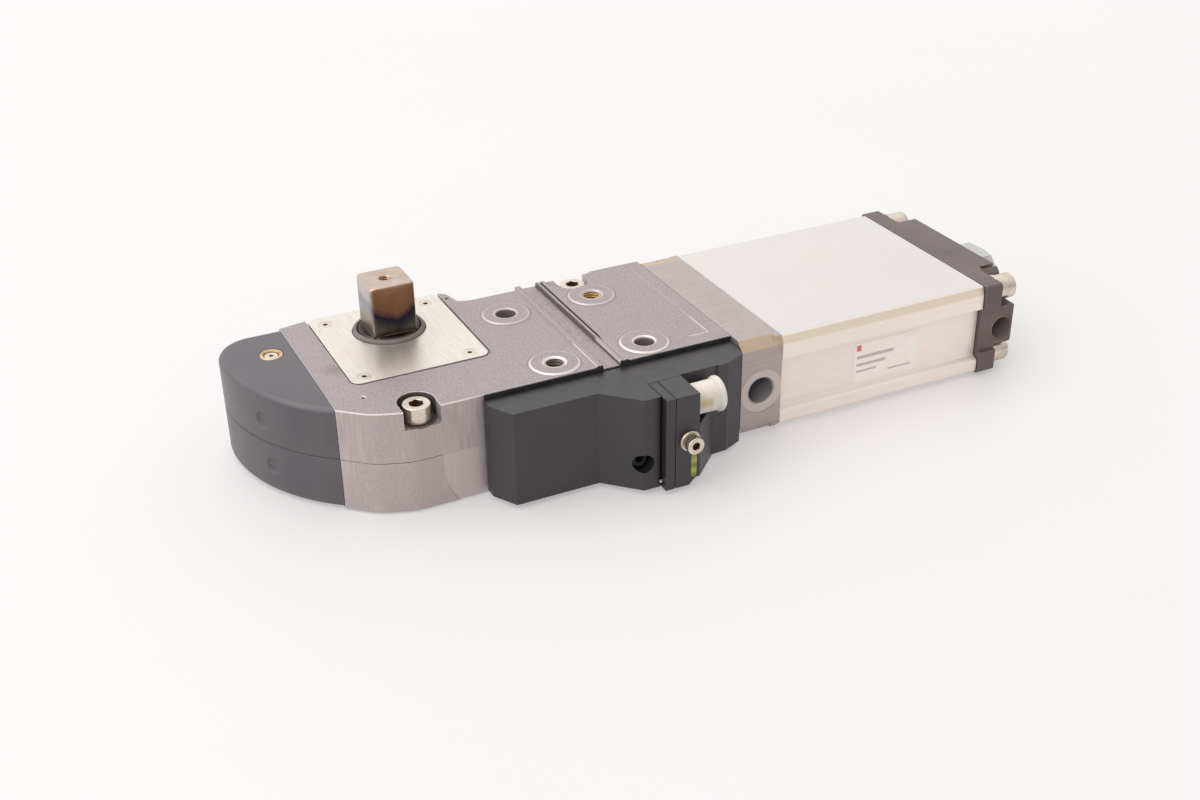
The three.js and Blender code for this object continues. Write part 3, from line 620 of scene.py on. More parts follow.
def tube_paint():
    p = Paint("clear_anodised", metallic=0.45)
    lines = p.noise(2600, 2, stretch=(0.02, 1.0, 1.0))
    patch = p.noise(14, 3)
    slope = p.facing()[2]
    flank = p.two_tones(lines, (238, 227, 218), (246, 235, 226))
    crown = p.two_tones(lines, (199, 196, 194), (206, 203, 201))
    # painted light: top faces take the darker crown tone, the flanks the lighter one
    colour = p.mix(p.above(slope, 0.85, 0.97), flank, crown)
    # painted highlight: a yellowish band on the shoulder chamfers
    band = p.times(p.above(slope, 0.08, 0.2), p.below(slope, 0.8, 0.95))
    band = p.times(band, p.above(p.axes()[2], 0.0445, 0.0465))
    colour = p.over(colour, band, (224, 210, 178), 0.7)
    p.colour(p.over(colour, p.grey(patch, 0.0, 0.25), (218, 209, 205)))
    p.rough(patch, 0.32, 0.42)
    p.bumps((lines, 0.08, 0.00003), (p.noise(3200, 2), 0.06, 0.00003))
    return p.mat


def head_paint():
    p = Paint("painted_casting", metallic=0.15, Specular_IOR_Level=0.6)
    grain = p.noise(1500, 3)
    patch = p.noise(40, 4)
    colour = p.two_tones(patch, (84, 74, 73), (100, 89, 87))
    # painted highlight along the edges, partly also wear
    colour = p.over(colour, p.edge(), (132, 118, 104))
    p.colour(colour)
    p.rough(grain, 0.4, 0.56)
    p.bumps((grain, 0.18, 0.00008), (p.noise(380, 3), 0.12, 0.0001))
    return p.mat


def cap_film_paint():
    p = Paint("translucent_cap", roughness=0.34, Transmission_Weight=0.45, IOR=1.46)
    patch = p.noise(160, 3)
    colour = p.two_tones(patch, (242, 236, 220), (252, 248, 240))
    x, y, z = p.axes()
    off_axis = p.math("ABSOLUTE", p.math("SUBTRACT", z, 0.0415))
    inner = p.times(p.below(x, 0.115, 0.1165), p.below(off_axis, 0.001, 0.003))
    p.colour(p.over(colour, inner, (206, 184, 96), 0.55))
    p.rough(patch, 0.28, 0.42)
    p.bumps((p.noise(900, 2), 0.08, 0.00005))
    return p.mat


def lens_paint():
    p = Paint("lamp_window", roughness=0.14, Transmission_Weight=0.35, IOR=1.49)
    z = p.axes()[2]
    band = p.above(z, 0.007, 0.0197)
    colour = p.ramp(band, [
        (0.0, srgb(120, 140, 60)), (0.2, srgb(226, 214, 96)), (0.42, srgb(132, 142, 70)),
        (0.62, srgb(214, 210, 120)), (1.0, srgb(116, 112, 70)),
    ])
    p.colour(p.over(colour, p.grey(p.noise(500, 3), 0.0, 0.4), (96, 104, 48)))
    p.bumps((p.noise(700, 2), 0.1, 0.00005))
    return p.mat


def label_paint():
    """White film with plain grey bars and one red patch, and no lettering."""
    p = Paint("plain_label", roughness=0.42)
    x, y, z = p.axes()
    (x0, _, z0), (x1, _, z1) = [[v * MM for v in c] for c in low_high("blank_label")]

    def inside(value, a, b):
        above = p.math("GREATER_THAN", value, a)
        return p.times(above, p.math("LESS_THAN", value, b))

    film = p.two_tones(p.noise(260, 3), (236, 228, 222), (243, 236, 231))
    colour = film
    # left, right, bottom and top of each bar, as parts of the film
    bars = [
        (0.05, 0.62, 0.60, 0.68), (0.05, 0.50, 0.42, 0.49), (0.05, 0.36, 0.27, 0.32), (0.55, 0.9, 0.16, 0.2),
    ]
    for a, b, low, high in bars:
        wide, tall = x1 - x0, z1 - z0
        mask = p.times(inside(x, x0 + a * wide, x0 + b * wide), inside(z, z0 + low * tall, z0 + high * tall))
        colour = p.over(colour, mask, (120, 114, 114), 0.55)
    red = p.times(inside(x, x0 + 0.0015, x0 + 0.0042), inside(z, z1 - 0.0046, z1 - 0.0013))
    p.colour(p.over(colour, red, (214, 84, 70), 0.9))
    p.bumps((p.noise(900, 2), 0.05, 0.00004))
    return p.mat


def plain_paint(name, metallic, tones, patch, gloss, bump):
    """Two tones in one pattern; patch, gloss and bump start with a noise's (scale, detail)."""
    p = Paint(name, metallic=metallic)
    p.colour(p.ramp(p.noise(*patch), [(0.3, srgb(*tones[0])), (0.7, srgb(*tones[1]))]))
    p.rough(p.noise(*gloss[0]), *gloss[1:])
    p.bumps((p.noise(*bump[0]), *bump[1:]))
    return p.mat


def rubber_paint(name, dark, light):
    grain = (1700, 3)
    return plain_paint(name, 0.0, (dark, light), (120, 4), (grain, 0.5, 0.75), (grain, 0.2, 0.00006))


CAST = cast_paint()
COVER = rod_cover_paint()
CAP = cap_paint()
PLATE = plate_paint()
SCREW = screw_paint()
# painted shade: the darker brown laid inside the hex sockets
SOCKET = plain_paint(
    "screw_socket", 0.8, ((96, 74, 50), (140, 112, 78)), (420, 3),
    ((420, 3), 0.35, 0.55), ((420, 3), 0.15, 0.00005),
)
STEEL = machine_steel_paint()
SHAFT = shaft_paint()
BRASS = plain_paint(
    "turned_brass", 0.95, ((200, 172, 128), (224, 200, 158)), (200, 3),
    ((1500, 2), 0.22, 0.4), ((1500, 2), 0.1, 0.00004),
)
BRONZE = plain_paint(
    "sintered_bronze", 0.9, ((120, 84, 50), (168, 124, 80)), (1800, 3),
    ((1800, 3), 0.35, 0.55), ((1800, 3), 0.25, 0.00006),
)
RUBBER = rubber_paint("black_rubber", (22, 21, 22), (42, 40, 41))
WIPER = rubber_paint("wiper_rubber", (92, 86, 84), (118, 111, 108))
BLACK = anodised_black_paint()
TUBE = tube_paint()
HEAD = head_paint()
ZINC = plain_paint(
    "zinc_plate", 0.9, ((176, 180, 170), (206, 208, 200)), (120, 4),
    ((120, 4), 0.26, 0.42), ((1200, 3), 0.14, 0.00005),
)
CAP_FILM = cap_film_paint()
WHITE = plain_paint(
    "sensor_plastic", 0.0, ((206, 200, 190), (226, 221, 212)), (200, 3),
    ((200, 3), 0.42, 0.56), ((1600, 2), 0.1, 0.00004),
)
LENS = lens_paint()
LABEL = label_paint()


# ------------------------------------------------------------------ cast body

def body_outline():
    corners = [
        (-44, -53.3), (-31.6, -64.2), (-15.6, -70), (BODY_END, -70), (BODY_END, 26.5), (118, 26.5),
        (115.5, 25), (92, 25), (91, 26.5), (77, 26.5), (74, 23), (50, 23), (44, 25), (42, 35), (38, 38.2),
        (-30, 38.2), (-44, 35.8),
    ]
    radii = [0, 26, 22, 0, 0, 1.2, 1.2, 0.6, 0.6, 0.6, 1.5, 6, 2, 2.4, 3, 0, 0]
    return rounded(corners, radii, 5)


def mirrored(z):
    return (2 * MID_Z - z[1], 2 * MID_Z - z[0])


NEAR_SCREW = centre("body_screw_near")[:2]
FAR_SCREW = centre("body_screw_far")[:2]
PADS = [(x, y, (x < 80) == (y > -20)) for x in (59.5, 106) for y in (0, -57.5)]


def body_half(top):
    side = (lambda z: z) if top else mirrored
    flip = (lambda z: z) if top else (lambda z: 2 * MID_Z - z)
    half = prism(body_outline(), side((MID_Z + 0.15, BODY_TOP)))
    adds = []
    for x, y, dowel in PADS:
        profile = [
            (0, BODY_TOP - 1), (11.9, BODY_TOP - 1), (11.9, BODY_TOP), (11.4, PAD_TOP - 0.1), (11.1, PAD_TOP),
            (0, PAD_TOP),
        ]
        adds.append(lathe([(r, flip(h)) for r, h in profile], "z", (x, y, 0), 64))
    adds.append(block((75.3, 78), (-70, 25.6), side((BODY_TOP - 1, PAD_TOP))))
    adds.append(block((87, 91.5), (-70, 25.6), side((BODY_TOP - 1, PAD_TOP))))
    join(half, *adds)
    cuts = [
        block((78, 87), (-71, 27), side((BODY_TOP - 1.6, BODY_TOP + 2))),
        block((88.5, 89.5), (-71, 27), side((BODY_TOP - 0.5, BODY_TOP + 2))),
        block((-37, 50), (-46, 18), side((MID_Z - 1, 43.1))),
        block((-37, 34), (-46, 29.5), side((MID_Z - 1, 43.1))),
        block((49, BODY_END + 1), (CYL_Y - 16.5, CYL_Y + 16.5), side((MID_Z - 1, 43.1))),
        block((22, 92), (-71, -43), side((MID_Z - 2, 32.6))),
        prism(arc(39.4, CYL_Y, 8, -90, 90, 10) + arc(-8.7, CYL_Y, 8, 90, 270, 10), side((42, 46.1))),
    ]
    for x, y, dowel in PADS:
        bottom = flip(PAD_TOP - 17)
        if dowel:
            cuts.append(plain_hole(5, bottom, flip(PAD_TOP), "z", (x, y, 0)))
        else:
            cuts.append(thread_hole(4.9, bottom, flip(PAD_TOP), 1.5, "z", (x, y, 0)))
    cuts.append(rod(4.4, (8, 60), "z", (*NEAR_SCREW, 0), 32))
    cuts.append(rod(4.4, (8, 60), "z", (*FAR_SCREW, 0), 32))
    # thin scribed border beside the rod cover
    border = side((BODY_TOP - 0.25, BODY_TOP + 2))
    cuts.append(block((137.6, 138.2), (-62, 17), border))
    cuts.append(block((128, 137.9), (-62.3, -61.7), border))
    cuts.append(block((128, 137.9), (16.7, 17.3), border))
    return half, cuts


def well(at, r, edge_y):
    z = (42.5, BODY_TOP + 2)
    y = (min(at[1], edge_y), max(at[1], edge_y))
    sign = 1 if edge_y > at[1] else -1
    back = arc(at[0], at[1], r, 180 if sign > 0 else 0, 360 if sign > 0 else 180, 20)
    outline = back + [(at[0] + sign * r, edge_y), (at[0] - sign * r, edge_y)]
    return prism(outline, z)


def build_body():
    half, cuts = body_half(True)
    plate_lo, plate_hi = low_high("seal_plate")
    recess = rectangle((plate_lo[0] - 0.5, plate_hi[0] + 1.3), (plate_lo[1] - 1, 60))
    recess = rounded(recess, [5.5, 5.5, 0, 0], 6)
    cuts += [
        prism(recess, (plate_lo[2] - 0.3, 60)),
        rod(17.8, (40, 60), "z", (SHAFT_X, SHAFT_Y, 0), 64),
        well(NEAR_SCREW, 8.6, -72),
        well(FAR_SCREW, 8.2, 28),
        plain_hole(1.1, 46, BODY_TOP, "z", (-29.4, -47.9, 0), 0.2, 20),
        plain_hole(1.1, 46, BODY_TOP, "z", (40.5, 30.5, 0), 0.2, 20),
    ]
    cut(half, *cuts)
    piece(half, "upper_casting", CAST, ["body_upper_half"], bevel=0.4)

    half, cuts = body_half(False)
    cuts += [
        rod(22.8, (-1, 3.3), "z", (SHAFT_X, SHAFT_Y, 0), 64),
        rod(17.8, (-1, 12), "z", (SHAFT_X, SHAFT_Y, 0), 64),
        # round ground flat behind the switch bracket's end
        rod(29.5, (-73, -69.5), "y", (27.3, 0, 20.1), 96),
    ]
    cut(half, *cuts)
    piece(half, "lower_casting", CAST, ["body_lower_half"], bevel=0.4)


# ------------------------------------------------------------------ nose cap

CAP_SCREW = centre("cap_screw_upper")[:2]


def cap_ring(inset, z):
    reach = 84 - inset
    end = 360 - math.degrees(math.acos((NOSE_X - 6.1) / reach))
    points = [(NOSE_X, 35.8 - inset)]
    points += arc(-59.6, 17.8, 18 - inset, 90, 176, 14)
    points += arc(6.1, 14.2, reach, 181, end, 26)
    return [(x, y, z) for x, y in points]


def build_cap(top):
    flip = (lambda z: z) if top else (lambda z: 2 * MID_Z - z)
    radius = 3.2
    rings = [cap_ring(0.35, flip(MID_Z + 0.15)), cap_ring(0, flip(MID_Z + 0.6))]
    for k in range(7):
        a = math.radians(15 * k)
        rings.append(cap_ring(radius * (1 - math.cos(a)), flip(BODY_TOP - radius * (1 - math.sin(a)))))
    cap = loft(rings)
    inner = [cap_ring(3.5, flip(z)) for z in (MID_Z - 2, BODY_TOP - 3.5)]
    for ring in inner:
        ring[0] = (NOSE_X + 3, ring[0][1], ring[0][2])
        ring[-1] = (NOSE_X + 3, ring[-1][1] - 3, ring[-1][2])
    hollow = loft(inner)
    cut(hollow, rod(8, (-5, 60), "z", (*CAP_SCREW, 0), 40))
    dimples = []
    for angle in (205.8,) if top else (208.3,):
        a = math.radians(angle)
        out = Vector((math.cos(a), math.sin(a), 0))
        spot = Vector((6.1, 14.2, flip(37.7))) + out * 84
        bowl = [(0, -1.2), (2.4, -1.1), (3.7, -0.8), (4.6, -0.1), (4.8, 2), (0, 2)]
        disc = lathe(bowl, "x", (0, 0, 0), 36)
        turn = Matrix.Rotation(a, 4, "Z")
        disc.data.transform(Matrix.Translation(spot) @ turn)
        dimples.append(disc)
    seat = rod(5.8, (flip(BODY_TOP - 4), flip(70)), "z", (*CAP_SCREW, 0), 40)
    cut(cap, hollow, seat, rod(2.6, (-5, 60), "z", (*CAP_SCREW, 0), 24), *dimples)
    word = "upper" if top else "lower"
    piece(cap, f"nose_shell_{word}", CAP, [f"nose_cap_{word}"], bevel=0.3, angle=40)

    ring = [
        (3.7, 3.7), (5.5, 3.7), (5.5, 0.25), (5.25, 0), (4.3, 0), (4.1, 0.5), (3.7, 0.5), (3.7, 3.7),
    ]
    ring = [(r, flip(BODY_TOP - depth)) for r, depth in ring]
    insert = lathe(ring, "z", (*CAP_SCREW, 0), 48)
    piece(insert, f"cap_ring_{word}", BRASS, [f"cap_insert_{word}"], bevel=0)
    screw(f"cap_fastener_{word}", f"cap_screw_{word}", 3.35, 3, 2.2, 1.9, up=top, head_r_edge=0.35)


# ------------------------------------------------------------------ screws

def screw(
    name, node, head_r, head_h, shank_r, socket_af,
    up=True, axis="z", head_r_edge=0.6, washer=None, knurl=False,
):
    """Socket head screw filling its node's length; the head is at the high end when up is true."""
    lo, hi = low_high(node)
    mid = centre(node)
    k = {"x": 0, "y": 1, "z": 2}[axis]
    tip, top = (lo[k], hi[k]) if up else (hi[k], lo[k])
    s = 1 if up else -1
    at = list(mid)
    at[k] = 0
    under = top - s * head_h
    profile = [(0, tip), (shank_r - 0.5, tip), (shank_r, tip + s * 0.5)]
    if washer:
        wr, wh = washer
        flange = [
            (shank_r, wh), (wr - 0.2, wh), (wr, wh - 0.25),
            (wr, 0.25), (wr - 0.25, 0.02), (head_r - 0.3, 0.02),
        ]
        profile += [(r, under - s * depth) for r, depth in flange]
    else:
        profile += [(shank_r, under), (head_r - 0.3, under)]
    profile += [
        (head_r, under + s * 0.4), (head_r, top - s * head_r_edge),
        (head_r - head_r_edge * 0.3, top - s * head_r_edge * 0.3),
        (head_r - head_r_edge, top), (0, top),
    ]
    if knurl:
        span = sorted((under + s * 0.6, top - s * (head_r_edge + 0.3)))
        ob = lathe(profile, axis, at, 72, flute=0.14, flute_span=(span[0] - 0.3, span[1] + 0.5))
    else:
        ob = lathe(profile, axis, at, 40)
    plane = {"z": "xy", "x": "yz", "y": "xz"}[axis]
    u, v = [mid[i] for i in range(3) if i != k]
    floor = top - s * head_h * 0.62
    socket = prism(hexagon(u, v, socket_af, 0.3), sorted((floor, top + s)), plane)
    cone_r = socket_af * 0.62
    mouth = [(0, -0.35), (socket_af * 0.5, -0.35), (cone_r, 0.1), (cone_r, 1), (0, 1)]
    mouth = lathe([(r, top + s * rise) for r, rise in mouth], axis, at, 36)
    cut(ob, socket, mouth)
    done = piece(ob, name, [SCREW, SOCKET], [node], bevel=0.12, segments=1, angle=50)
    # the faces inside the socket take the second material, painted shade
    inner = socket_af * 0.60 * MM
    for poly in done.data.polygons:
        c = poly.center
        flat = [c[i] - mid[i] * MM for i in range(3) if i != k]
        if math.hypot(*flat) < inner and (top * MM - c[k]) * s > 0.0002:
            poly.material_index = 1
    return done


def build_plate():
    lo, hi = low_high("seal_plate")
    plate = prism(rounded(rectangle((lo[0], hi[0]), (lo[1], hi[1])), 4.5, 8), (lo[2], hi[2]))
    tools = [rod(17.8, (40, 60), "z", (SHAFT_X, SHAFT_Y, 0), 72)]
    for k in range(1, 5):
        x, y, _ = centre(f"plate_screw_{k}")
        seat = [
            (0, lo[2] - 1), (1.95, lo[2] - 1), (1.95, lo[2]), (3.5, hi[2]), (3.5, hi[2] + 1), (0, hi[2] + 1),
        ]
        tools.append(lathe(seat, "z", (x, y, 0), 36))
    cut(plate, *tools)
    piece(plate, "shaft_plate", PLATE, ["seal_plate"], bevel=0.18, angle=60)
    for k in range(1, 5):
        node = f"plate_screw_{k}"
        slo, shi = low_high(node)
        x, y, _ = centre(node)
        top = shi[2]
        profile = [(0, slo[2]), (1.6, slo[2]), (1.6, 50.3), (3.2, top - 0.1), (3.1, top), (0, top)]
        ob = lathe(profile, "z", (x, y, 0), 36)
        cut(ob, prism(hexagon(x, y, 2.1, 0.4), (top - 1.1, top + 1)))
        paints = [SCREW, SOCKET]
        name = f"plate_fastener_{k}"
        done = piece(ob, name, paints, [node], bevel=0.06, segments=1, angle=50)
        # the faces inside the socket take the second material, painted shade
        for poly in done.data.polygons:
            c = poly.center
            away = math.hypot(c.x - x * MM, c.y - y * MM)
            if away < 1.25 * MM and 49 * MM < c.z < (top - 0.1) * MM:
                poly.material_index = 1

    ring = [
        (15.3, 50.3), (17.5, 50.3), (17.5, 52.5), (17.35, 53), (17.0, 53.5), (16.5, 53.8), (16, 53.9),
        (15.6, 53.8), (15.3, 53.5), (15.3, 50.3),
    ]
    wiper = lathe(ring, "z", (SHAFT_X, SHAFT_Y, 0), 72)
    piece(wiper, "shaft_wiper", WIPER, ["shaft_scraper"], bevel=0)


# ------------------------------------------------------------------ clamp arm shaft

def build_shaft():
    half = 11.0
    square = rounded(rectangle((-half, half), (-half, half)), 2.2, 6)
    hole = low_high("arm_shaft")[1][2]

    def ring(inset, z):
        k = (half - inset) / half
        return [(SHAFT_X + x * k, SHAFT_Y + y * k, z) for x, y in square]

    rings = [ring(0, 44), ring(0, hole - 1.3)]
    for a in map(math.radians, (30, 60, 90)):
        rings.append(ring(1.3 * (1 - math.cos(a)), hole - 1.3 * (1 - math.sin(a))))
    shaft = loft(rings)
    axis_at = (SHAFT_X, SHAFT_Y, 0)
    journal = lathe([(0, 3.6), (14.2, 3.6), (15, 4.4), (15, 53.4), (14.2, 54.2), (0, 54.2)], "z", axis_at, 72)
    pin = centre("lever_pin")
    reach = Vector((pin[0] - SHAFT_X, pin[1] - SHAFT_Y))
    mid = math.degrees(math.atan2(reach.y, reach.x))
    tilt = math.degrees(math.acos((15.5 - 8.5) / reach.length))
    hull = arc(pin[0], pin[1], 8.5, mid - tilt, mid + tilt, 12)
    hull += arc(SHAFT_X, SHAFT_Y, 15.5, mid + tilt, mid + 360 - tilt, 24)
    join(shaft, journal, prism(hull, (11.3, 18.9)), prism(hull, (33.7, 41.3)))
    end_hole = thread_hole(3, hole - 14, hole, 1.0, "z", axis_at, 0.4, 28)
    cut(shaft, end_hole, rod(5.3, (5, 50), "z", (pin[0], pin[1], 0), 32))
    piece(shaft, "clamp_shaft", SHAFT, ["arm_shaft"], body="arm", bevel=0.25, angle=50)


# ------------------------------------------------------------------ cylinder

def section(half_y, half_z, cut_y, cut_z):
    y0, y1 = CYL_Y - half_y, CYL_Y + half_y
    z0, z1 = MID_Z - half_z, MID_Z + half_z
    return [
        (y0 + cut_y, z0), (y1 - cut_y, z0), (y1, z0 + cut_z), (y1, z1 - cut_z),
        (y1 - cut_y, z1), (y0 + cut_y, z1), (y0, z1 - cut_z), (y0, z0 + cut_z),
    ]


BOLTS = [centre(f"tie_bolt_{k}") for k in range(1, 5)]


def build_rod_cover():
    (x0, _, _), (x1, _, _) = low_high("rod_cover")
    cover = prism(rounded(section(54.6, 25.6, 4.5, 5), 1.2, 3), (x0, x1 - 3.4), "yz")
    join(cover, prism(rounded(section(54.2, 24.9, 2, 4.6), 0.8, 2), (x1 - 4, x1), "yz"))
    port = (157.3, 0, 24)
    tools = [
        rod(11.5, (-90, -81.1), "y", port, 72),
        thread_hole(6.75, -62, -81.1, 1.34, "y", port, 0.9, 56),
        rod(12.3, (x0 - 1, 161), "x", (0, CYL_Y, MID_Z), 48),
        rod(9.4, (160, 170), "x", (0, CYL_Y, MID_Z), 48),
        block((x0 + 1.2, x0 + 9.5), (20.5, 25.5), (BODY_TOP - 0.5, BODY_TOP + 2)),
    ]
    tools += [rod(4.4, (x0 + 5, 170), "x", (0, b[1], b[2]), 24) for b in BOLTS]
    cut(cover, *tools)
    piece(cover, "rod_side_cover", COVER, ["rod_cover"], bevel=0.35)


def build_tube():
    (x0, _, _), (x1, _, _) = low_high("cylinder_tube")
    half, low, high = 54.0, MID_Z - 24.4, MID_Z + 24.4
    run = [
        (half - 1.7, low), (half, low + 1.7), (half, 8.9), (half - 0.5, 9.6), (half - 3.0, 10.7),
        (half - 3.5, 11.2),
        (half - 3.5, 37.7), (half - 3.1, 38.3), (half, 38.3), (half, high - 4.7), (half - 0.4, high - 4.0),
        (half - 1.4, high - 0.5), (half - 2.2, high),
    ]
    far = [(CYL_Y + y, z) for y, z in run]
    near = [(CYL_Y - y, z) for y, z in reversed(run)]
    tube = prism(far + near, (x0, x1), "yz")
    bore = [(CYL_Y + y, MID_Z + z) for y, z in arc(22, 0, 21, -90, 90, 24) + arc(-22, 0, 21, 90, 270, 24)]
    tools = [prism(bore, (x0 - 1, x1 + 1), "yz")]
    tools += [rod(4.4, (x0 - 1, x1 + 1), "x", (0, b[1], b[2]), 24) for b in BOLTS]
    cut(tube, *tools)
    piece(tube, "tube_profile", TUBE, ["cylinder_tube"], bevel=0.2, angle=40)

    lo, hi = low_high("blank_label")
    film = rounded(rectangle((lo[0], hi[0]), (lo[2], hi[2])), 1.2, 5)
    panel = CYL_Y - 50.5
    film = prism(film, (panel - 0.12, panel - 0.02), "xz")
    piece(film, "name_film", LABEL, ["blank_label"], bevel=0.03, segments=1, angle=50)


def build_head():
    x0, x1, x2 = 288.0, 298.1, HEAD_BLOCK_END
    x3 = low_high("head_cover")[1][0]
    slab = prism(rounded(section(55.3, 24.6, 1.2, 1.2), 0.8, 2), (x0, x1), "yz")
    centre_block = prism(rounded(section(38.4, 24.6, 3, 3), 2, 4), (297, x2), "yz")
    bar = prism(rounded([
        (x0, -80.4), (x3 - 4, -80.4), (x3, -76), (x3, 22), (x3 - 4, 26.4), (x0, 26.4),
    ], [0, 2, 2, 2, 2, 0], 4), (MID_Z - 10.6, MID_Z + 10.6))
    slopes = [
        (x0 - 1, -12), (x3 - 4.5, -12), (x3 - 4.5, -10.6), (x3, -6), (x3 + 1, -6),
        (x3 + 1, 6), (x3, 6), (x3 - 4.5, 10.6), (x3 - 4.5, 12), (x0 - 1, 12),
    ]
    slopes = [(x, MID_Z + z) for x, z in slopes]
    keep(bar, prism(slopes, (-90, 40), "xz"))
    join(slab, centre_block, bar)
    port = (302, 0, 24.4)
    tools = [
        block((x0 - 1, x2 - 6), (-84, -80.4), (MID_Z - 12.6, MID_Z + 12.2)),
        thread_hole(6.75, -60, -80.4, 1.34, "y", port, 0.8, 56),
        block((x1 + 2, x2 + 1), (-62.5, -59.5), (MID_Z + 19, MID_Z + 26)),
        rod(17.7, (x2, x3 + 1), "x", (0, CYL_Y, MID_Z), 64),
    ]
    tools += [rod(4.4, (x0 - 1, x1 + 1), "x", (0, b[1], b[2]), 24) for b in BOLTS]
    cut(slab, *tools)
    piece(slab, "head_side_cover", HEAD, ["head_cover"], bevel=0.7, segments=3)

    for k in range(1, 5):
        screw(f"tie_rod_{k}", f"tie_bolt_{k}", 6.5, 9.4, 4, 6, axis="x", washer=(6.9, 1.9), knurl=True)

    plug_lo, plug_hi = low_high("head_plug")
    a, b = plug_lo[0], plug_hi[0]
    face = low_high("head_cover")[1][0] + 0.3
    hexa = prism(hexagon(CYL_Y, MID_Z, 33.2), (face, b), "yz")
    cone = lathe([(0, a), (19.2, a), (19.2, b - 2.0), (15.4, b), (0, b)], "x", (0, CYL_Y, MID_Z), 64)
    keep(hexa, cone)
    collar = [(0, a), (17.2, a), (17.4, a + 0.3), (17.4, face + 0.7), (0, face + 0.7)]
    collar = lathe(collar, "x", (0, CYL_Y, MID_Z), 64)
    join(hexa, collar)
    piece(hexa, "blanking_plug", ZINC, ["head_plug"], bevel=0.3)


# ------------------------------------------------------------------ switch unit

def build_switch():
    back = -71.1
    z = low_high("switch_bracket")
    z = (z[0][2], z[1][2])
    outline = [
        (18.5, back), (18.5, -77), (25.3, -88.9), (66.6, -88.9), (81.8, -104.1), (90.2, -104.4),
        (90.2, -90.7), (107.8, -90.7),
        (107.8, -104.5), (110.5, -104.5), (125.3, -90.5), (133, -90), (143, -85.5), (145, -78), (145, back),
    ]
    radii = [0, 0.8, 0.5, 0.8, 1.6, 0.6, 0, 0, 0.4, 0.8, 0.8, 0.8, 0.8, 0.8, 0]
    bracket = prism(rounded(outline, radii, 3), z)
    tools = [
        block((107.5, 127), (-112, -89.8), (30.5, 60)),
        lathe([(0, -88), (4.7, -88), (4.7, -120), (0, -120)], "y", (82.3, 0, 16.2), 40),
    ]
    for node in ("proximity_head_1", "proximity_head_2"):
        c = centre(node)
        tools.append(rod(6.4, (-86, -70), "y", (c[0], 0, c[2]), 32))
    cut(bracket, *tools)
    piece(bracket, "bracket_block", BLACK, ["switch_bracket"], bevel=0.35)

    rail = prism(rounded([(90.5, -91), (90.5, -109), (95.2, -109), (95.2, -91)], [0, 0.4, 0.2, 0], 3), z)
    cut(rail, block((90.9, 94.8), (-108, -92), (z[1] - 0.3, z[1] + 1)))
    strip = block((91.1, 94.6), (-107.8, -92.2), (z[1] - 0.5, z[1] - 0.02))
    join(rail, strip)
    piece(rail, "slot_rail", BLACK, ["switch_rail"], bevel=0.15)

    (x0, y0, _), (x1, y1, _) = low_high("switch_housing")
    front = [(x0, z[0]), (x1 - 5, z[0]), (x1, z[0] + 5), (x1, z[1]), (x0, z[1])]
    housing = prism(rounded(front, 0.5, 2), (y0, y1), "xz")
    screw_at = centre("switch_screw")
    plug_at = centre("connector_shell")
    cut(
        housing,
        rod(2.2, (-112, -94), "y", (screw_at[0], 0, screw_at[2]), 24),
        prism(slot_outline(105, (7.3, 17.1), 1.7), (-112, -107.4), "xz"),
        rod(5.2, (103, 109), "x", (0, plug_at[1], plug_at[2]), 32),
    )
    piece(housing, "switch_case", BLACK, ["switch_housing"], bevel=0.3)

    lo, hi = low_high("light_window")
    window = prism(slot_outline(105, (7.3, 17.1), 1.5), (lo[1], hi[1]), "xz")
    piece(window, "lamp_strip", LENS, ["light_window"], bevel=0.15)

    lo, hi = low_high("switch_washer")
    c = centre("switch_washer")
    wave = [
        (2.35, lo[1]), (4.8, lo[1]), (4.9, lo[1] + 0.2), (4.6, lo[1] + 0.6), (5.0, lo[1] + 0.7),
        (5.0, hi[1]), (2.35, hi[1]),
        (2.35, lo[1]),
    ]
    wave = lathe(wave, "y", (c[0], 0, c[2]), 40)
    piece(wave, "spring_and_washer", SCREW, ["switch_washer"], bevel=0)
    screw("clamp_fastener", "switch_screw", 4.2, 4.8, 2, 3.6, up=False, axis="y", head_r_edge=0.4)

    c = centre("bracket_set_screw")
    lo, hi = low_high("bracket_set_screw")
    grub = [(0, hi[1]), (4.3, hi[1]), (4.3, lo[1] + 0.5), (3.8, lo[1]), (0, lo[1])]
    grub = lathe(grub, "y", (c[0], 0, c[2]), 40)
    cut(grub, prism(hexagon(c[0], c[2], 4, 0.2), (lo[1] - 1, lo[1] + 4.5), "xz"))
    piece(grub, "grub_screw", RUBBER, ["bracket_set_screw"], bevel=0.1)

    c = centre("rail_pin")
    lo, hi = low_high("rail_pin")
    pin = [(0, hi[0]), (0.9, hi[0]), (0.9, lo[0] + 0.3), (0.5, lo[0]), (0, lo[0])]
    pin = lathe(pin, "x", (0, c[1], c[2]), 20)
    piece(pin, "pin_end", SCREW, ["rail_pin"], bevel=0)

    # the gasket's top edge follows the two ridges and the channel of the casting
    g_lo, g_hi = low_high("switch_gasket")
    edge = g_hi[2] - 0.7
    outline = [
        (g_lo[0], g_lo[2]), (g_hi[0], g_lo[2]), (g_hi[0], edge), (92, edge), (91.2, g_hi[2]), (87.3, g_hi[2]),
        (86.6, 50), (78.4, 50), (77.8, g_hi[2]), (75.4, g_hi[2]), (74.6, edge), (g_lo[0], edge),
    ]
    gasket = prism(outline, (g_lo[1], g_hi[1]), "xz")
    cut(gasket, block((25.2, 92), (-72, -69), (19, 33.6)))
    piece(gasket, "flat_gasket", RUBBER, ["switch_gasket"], bevel=0.1)


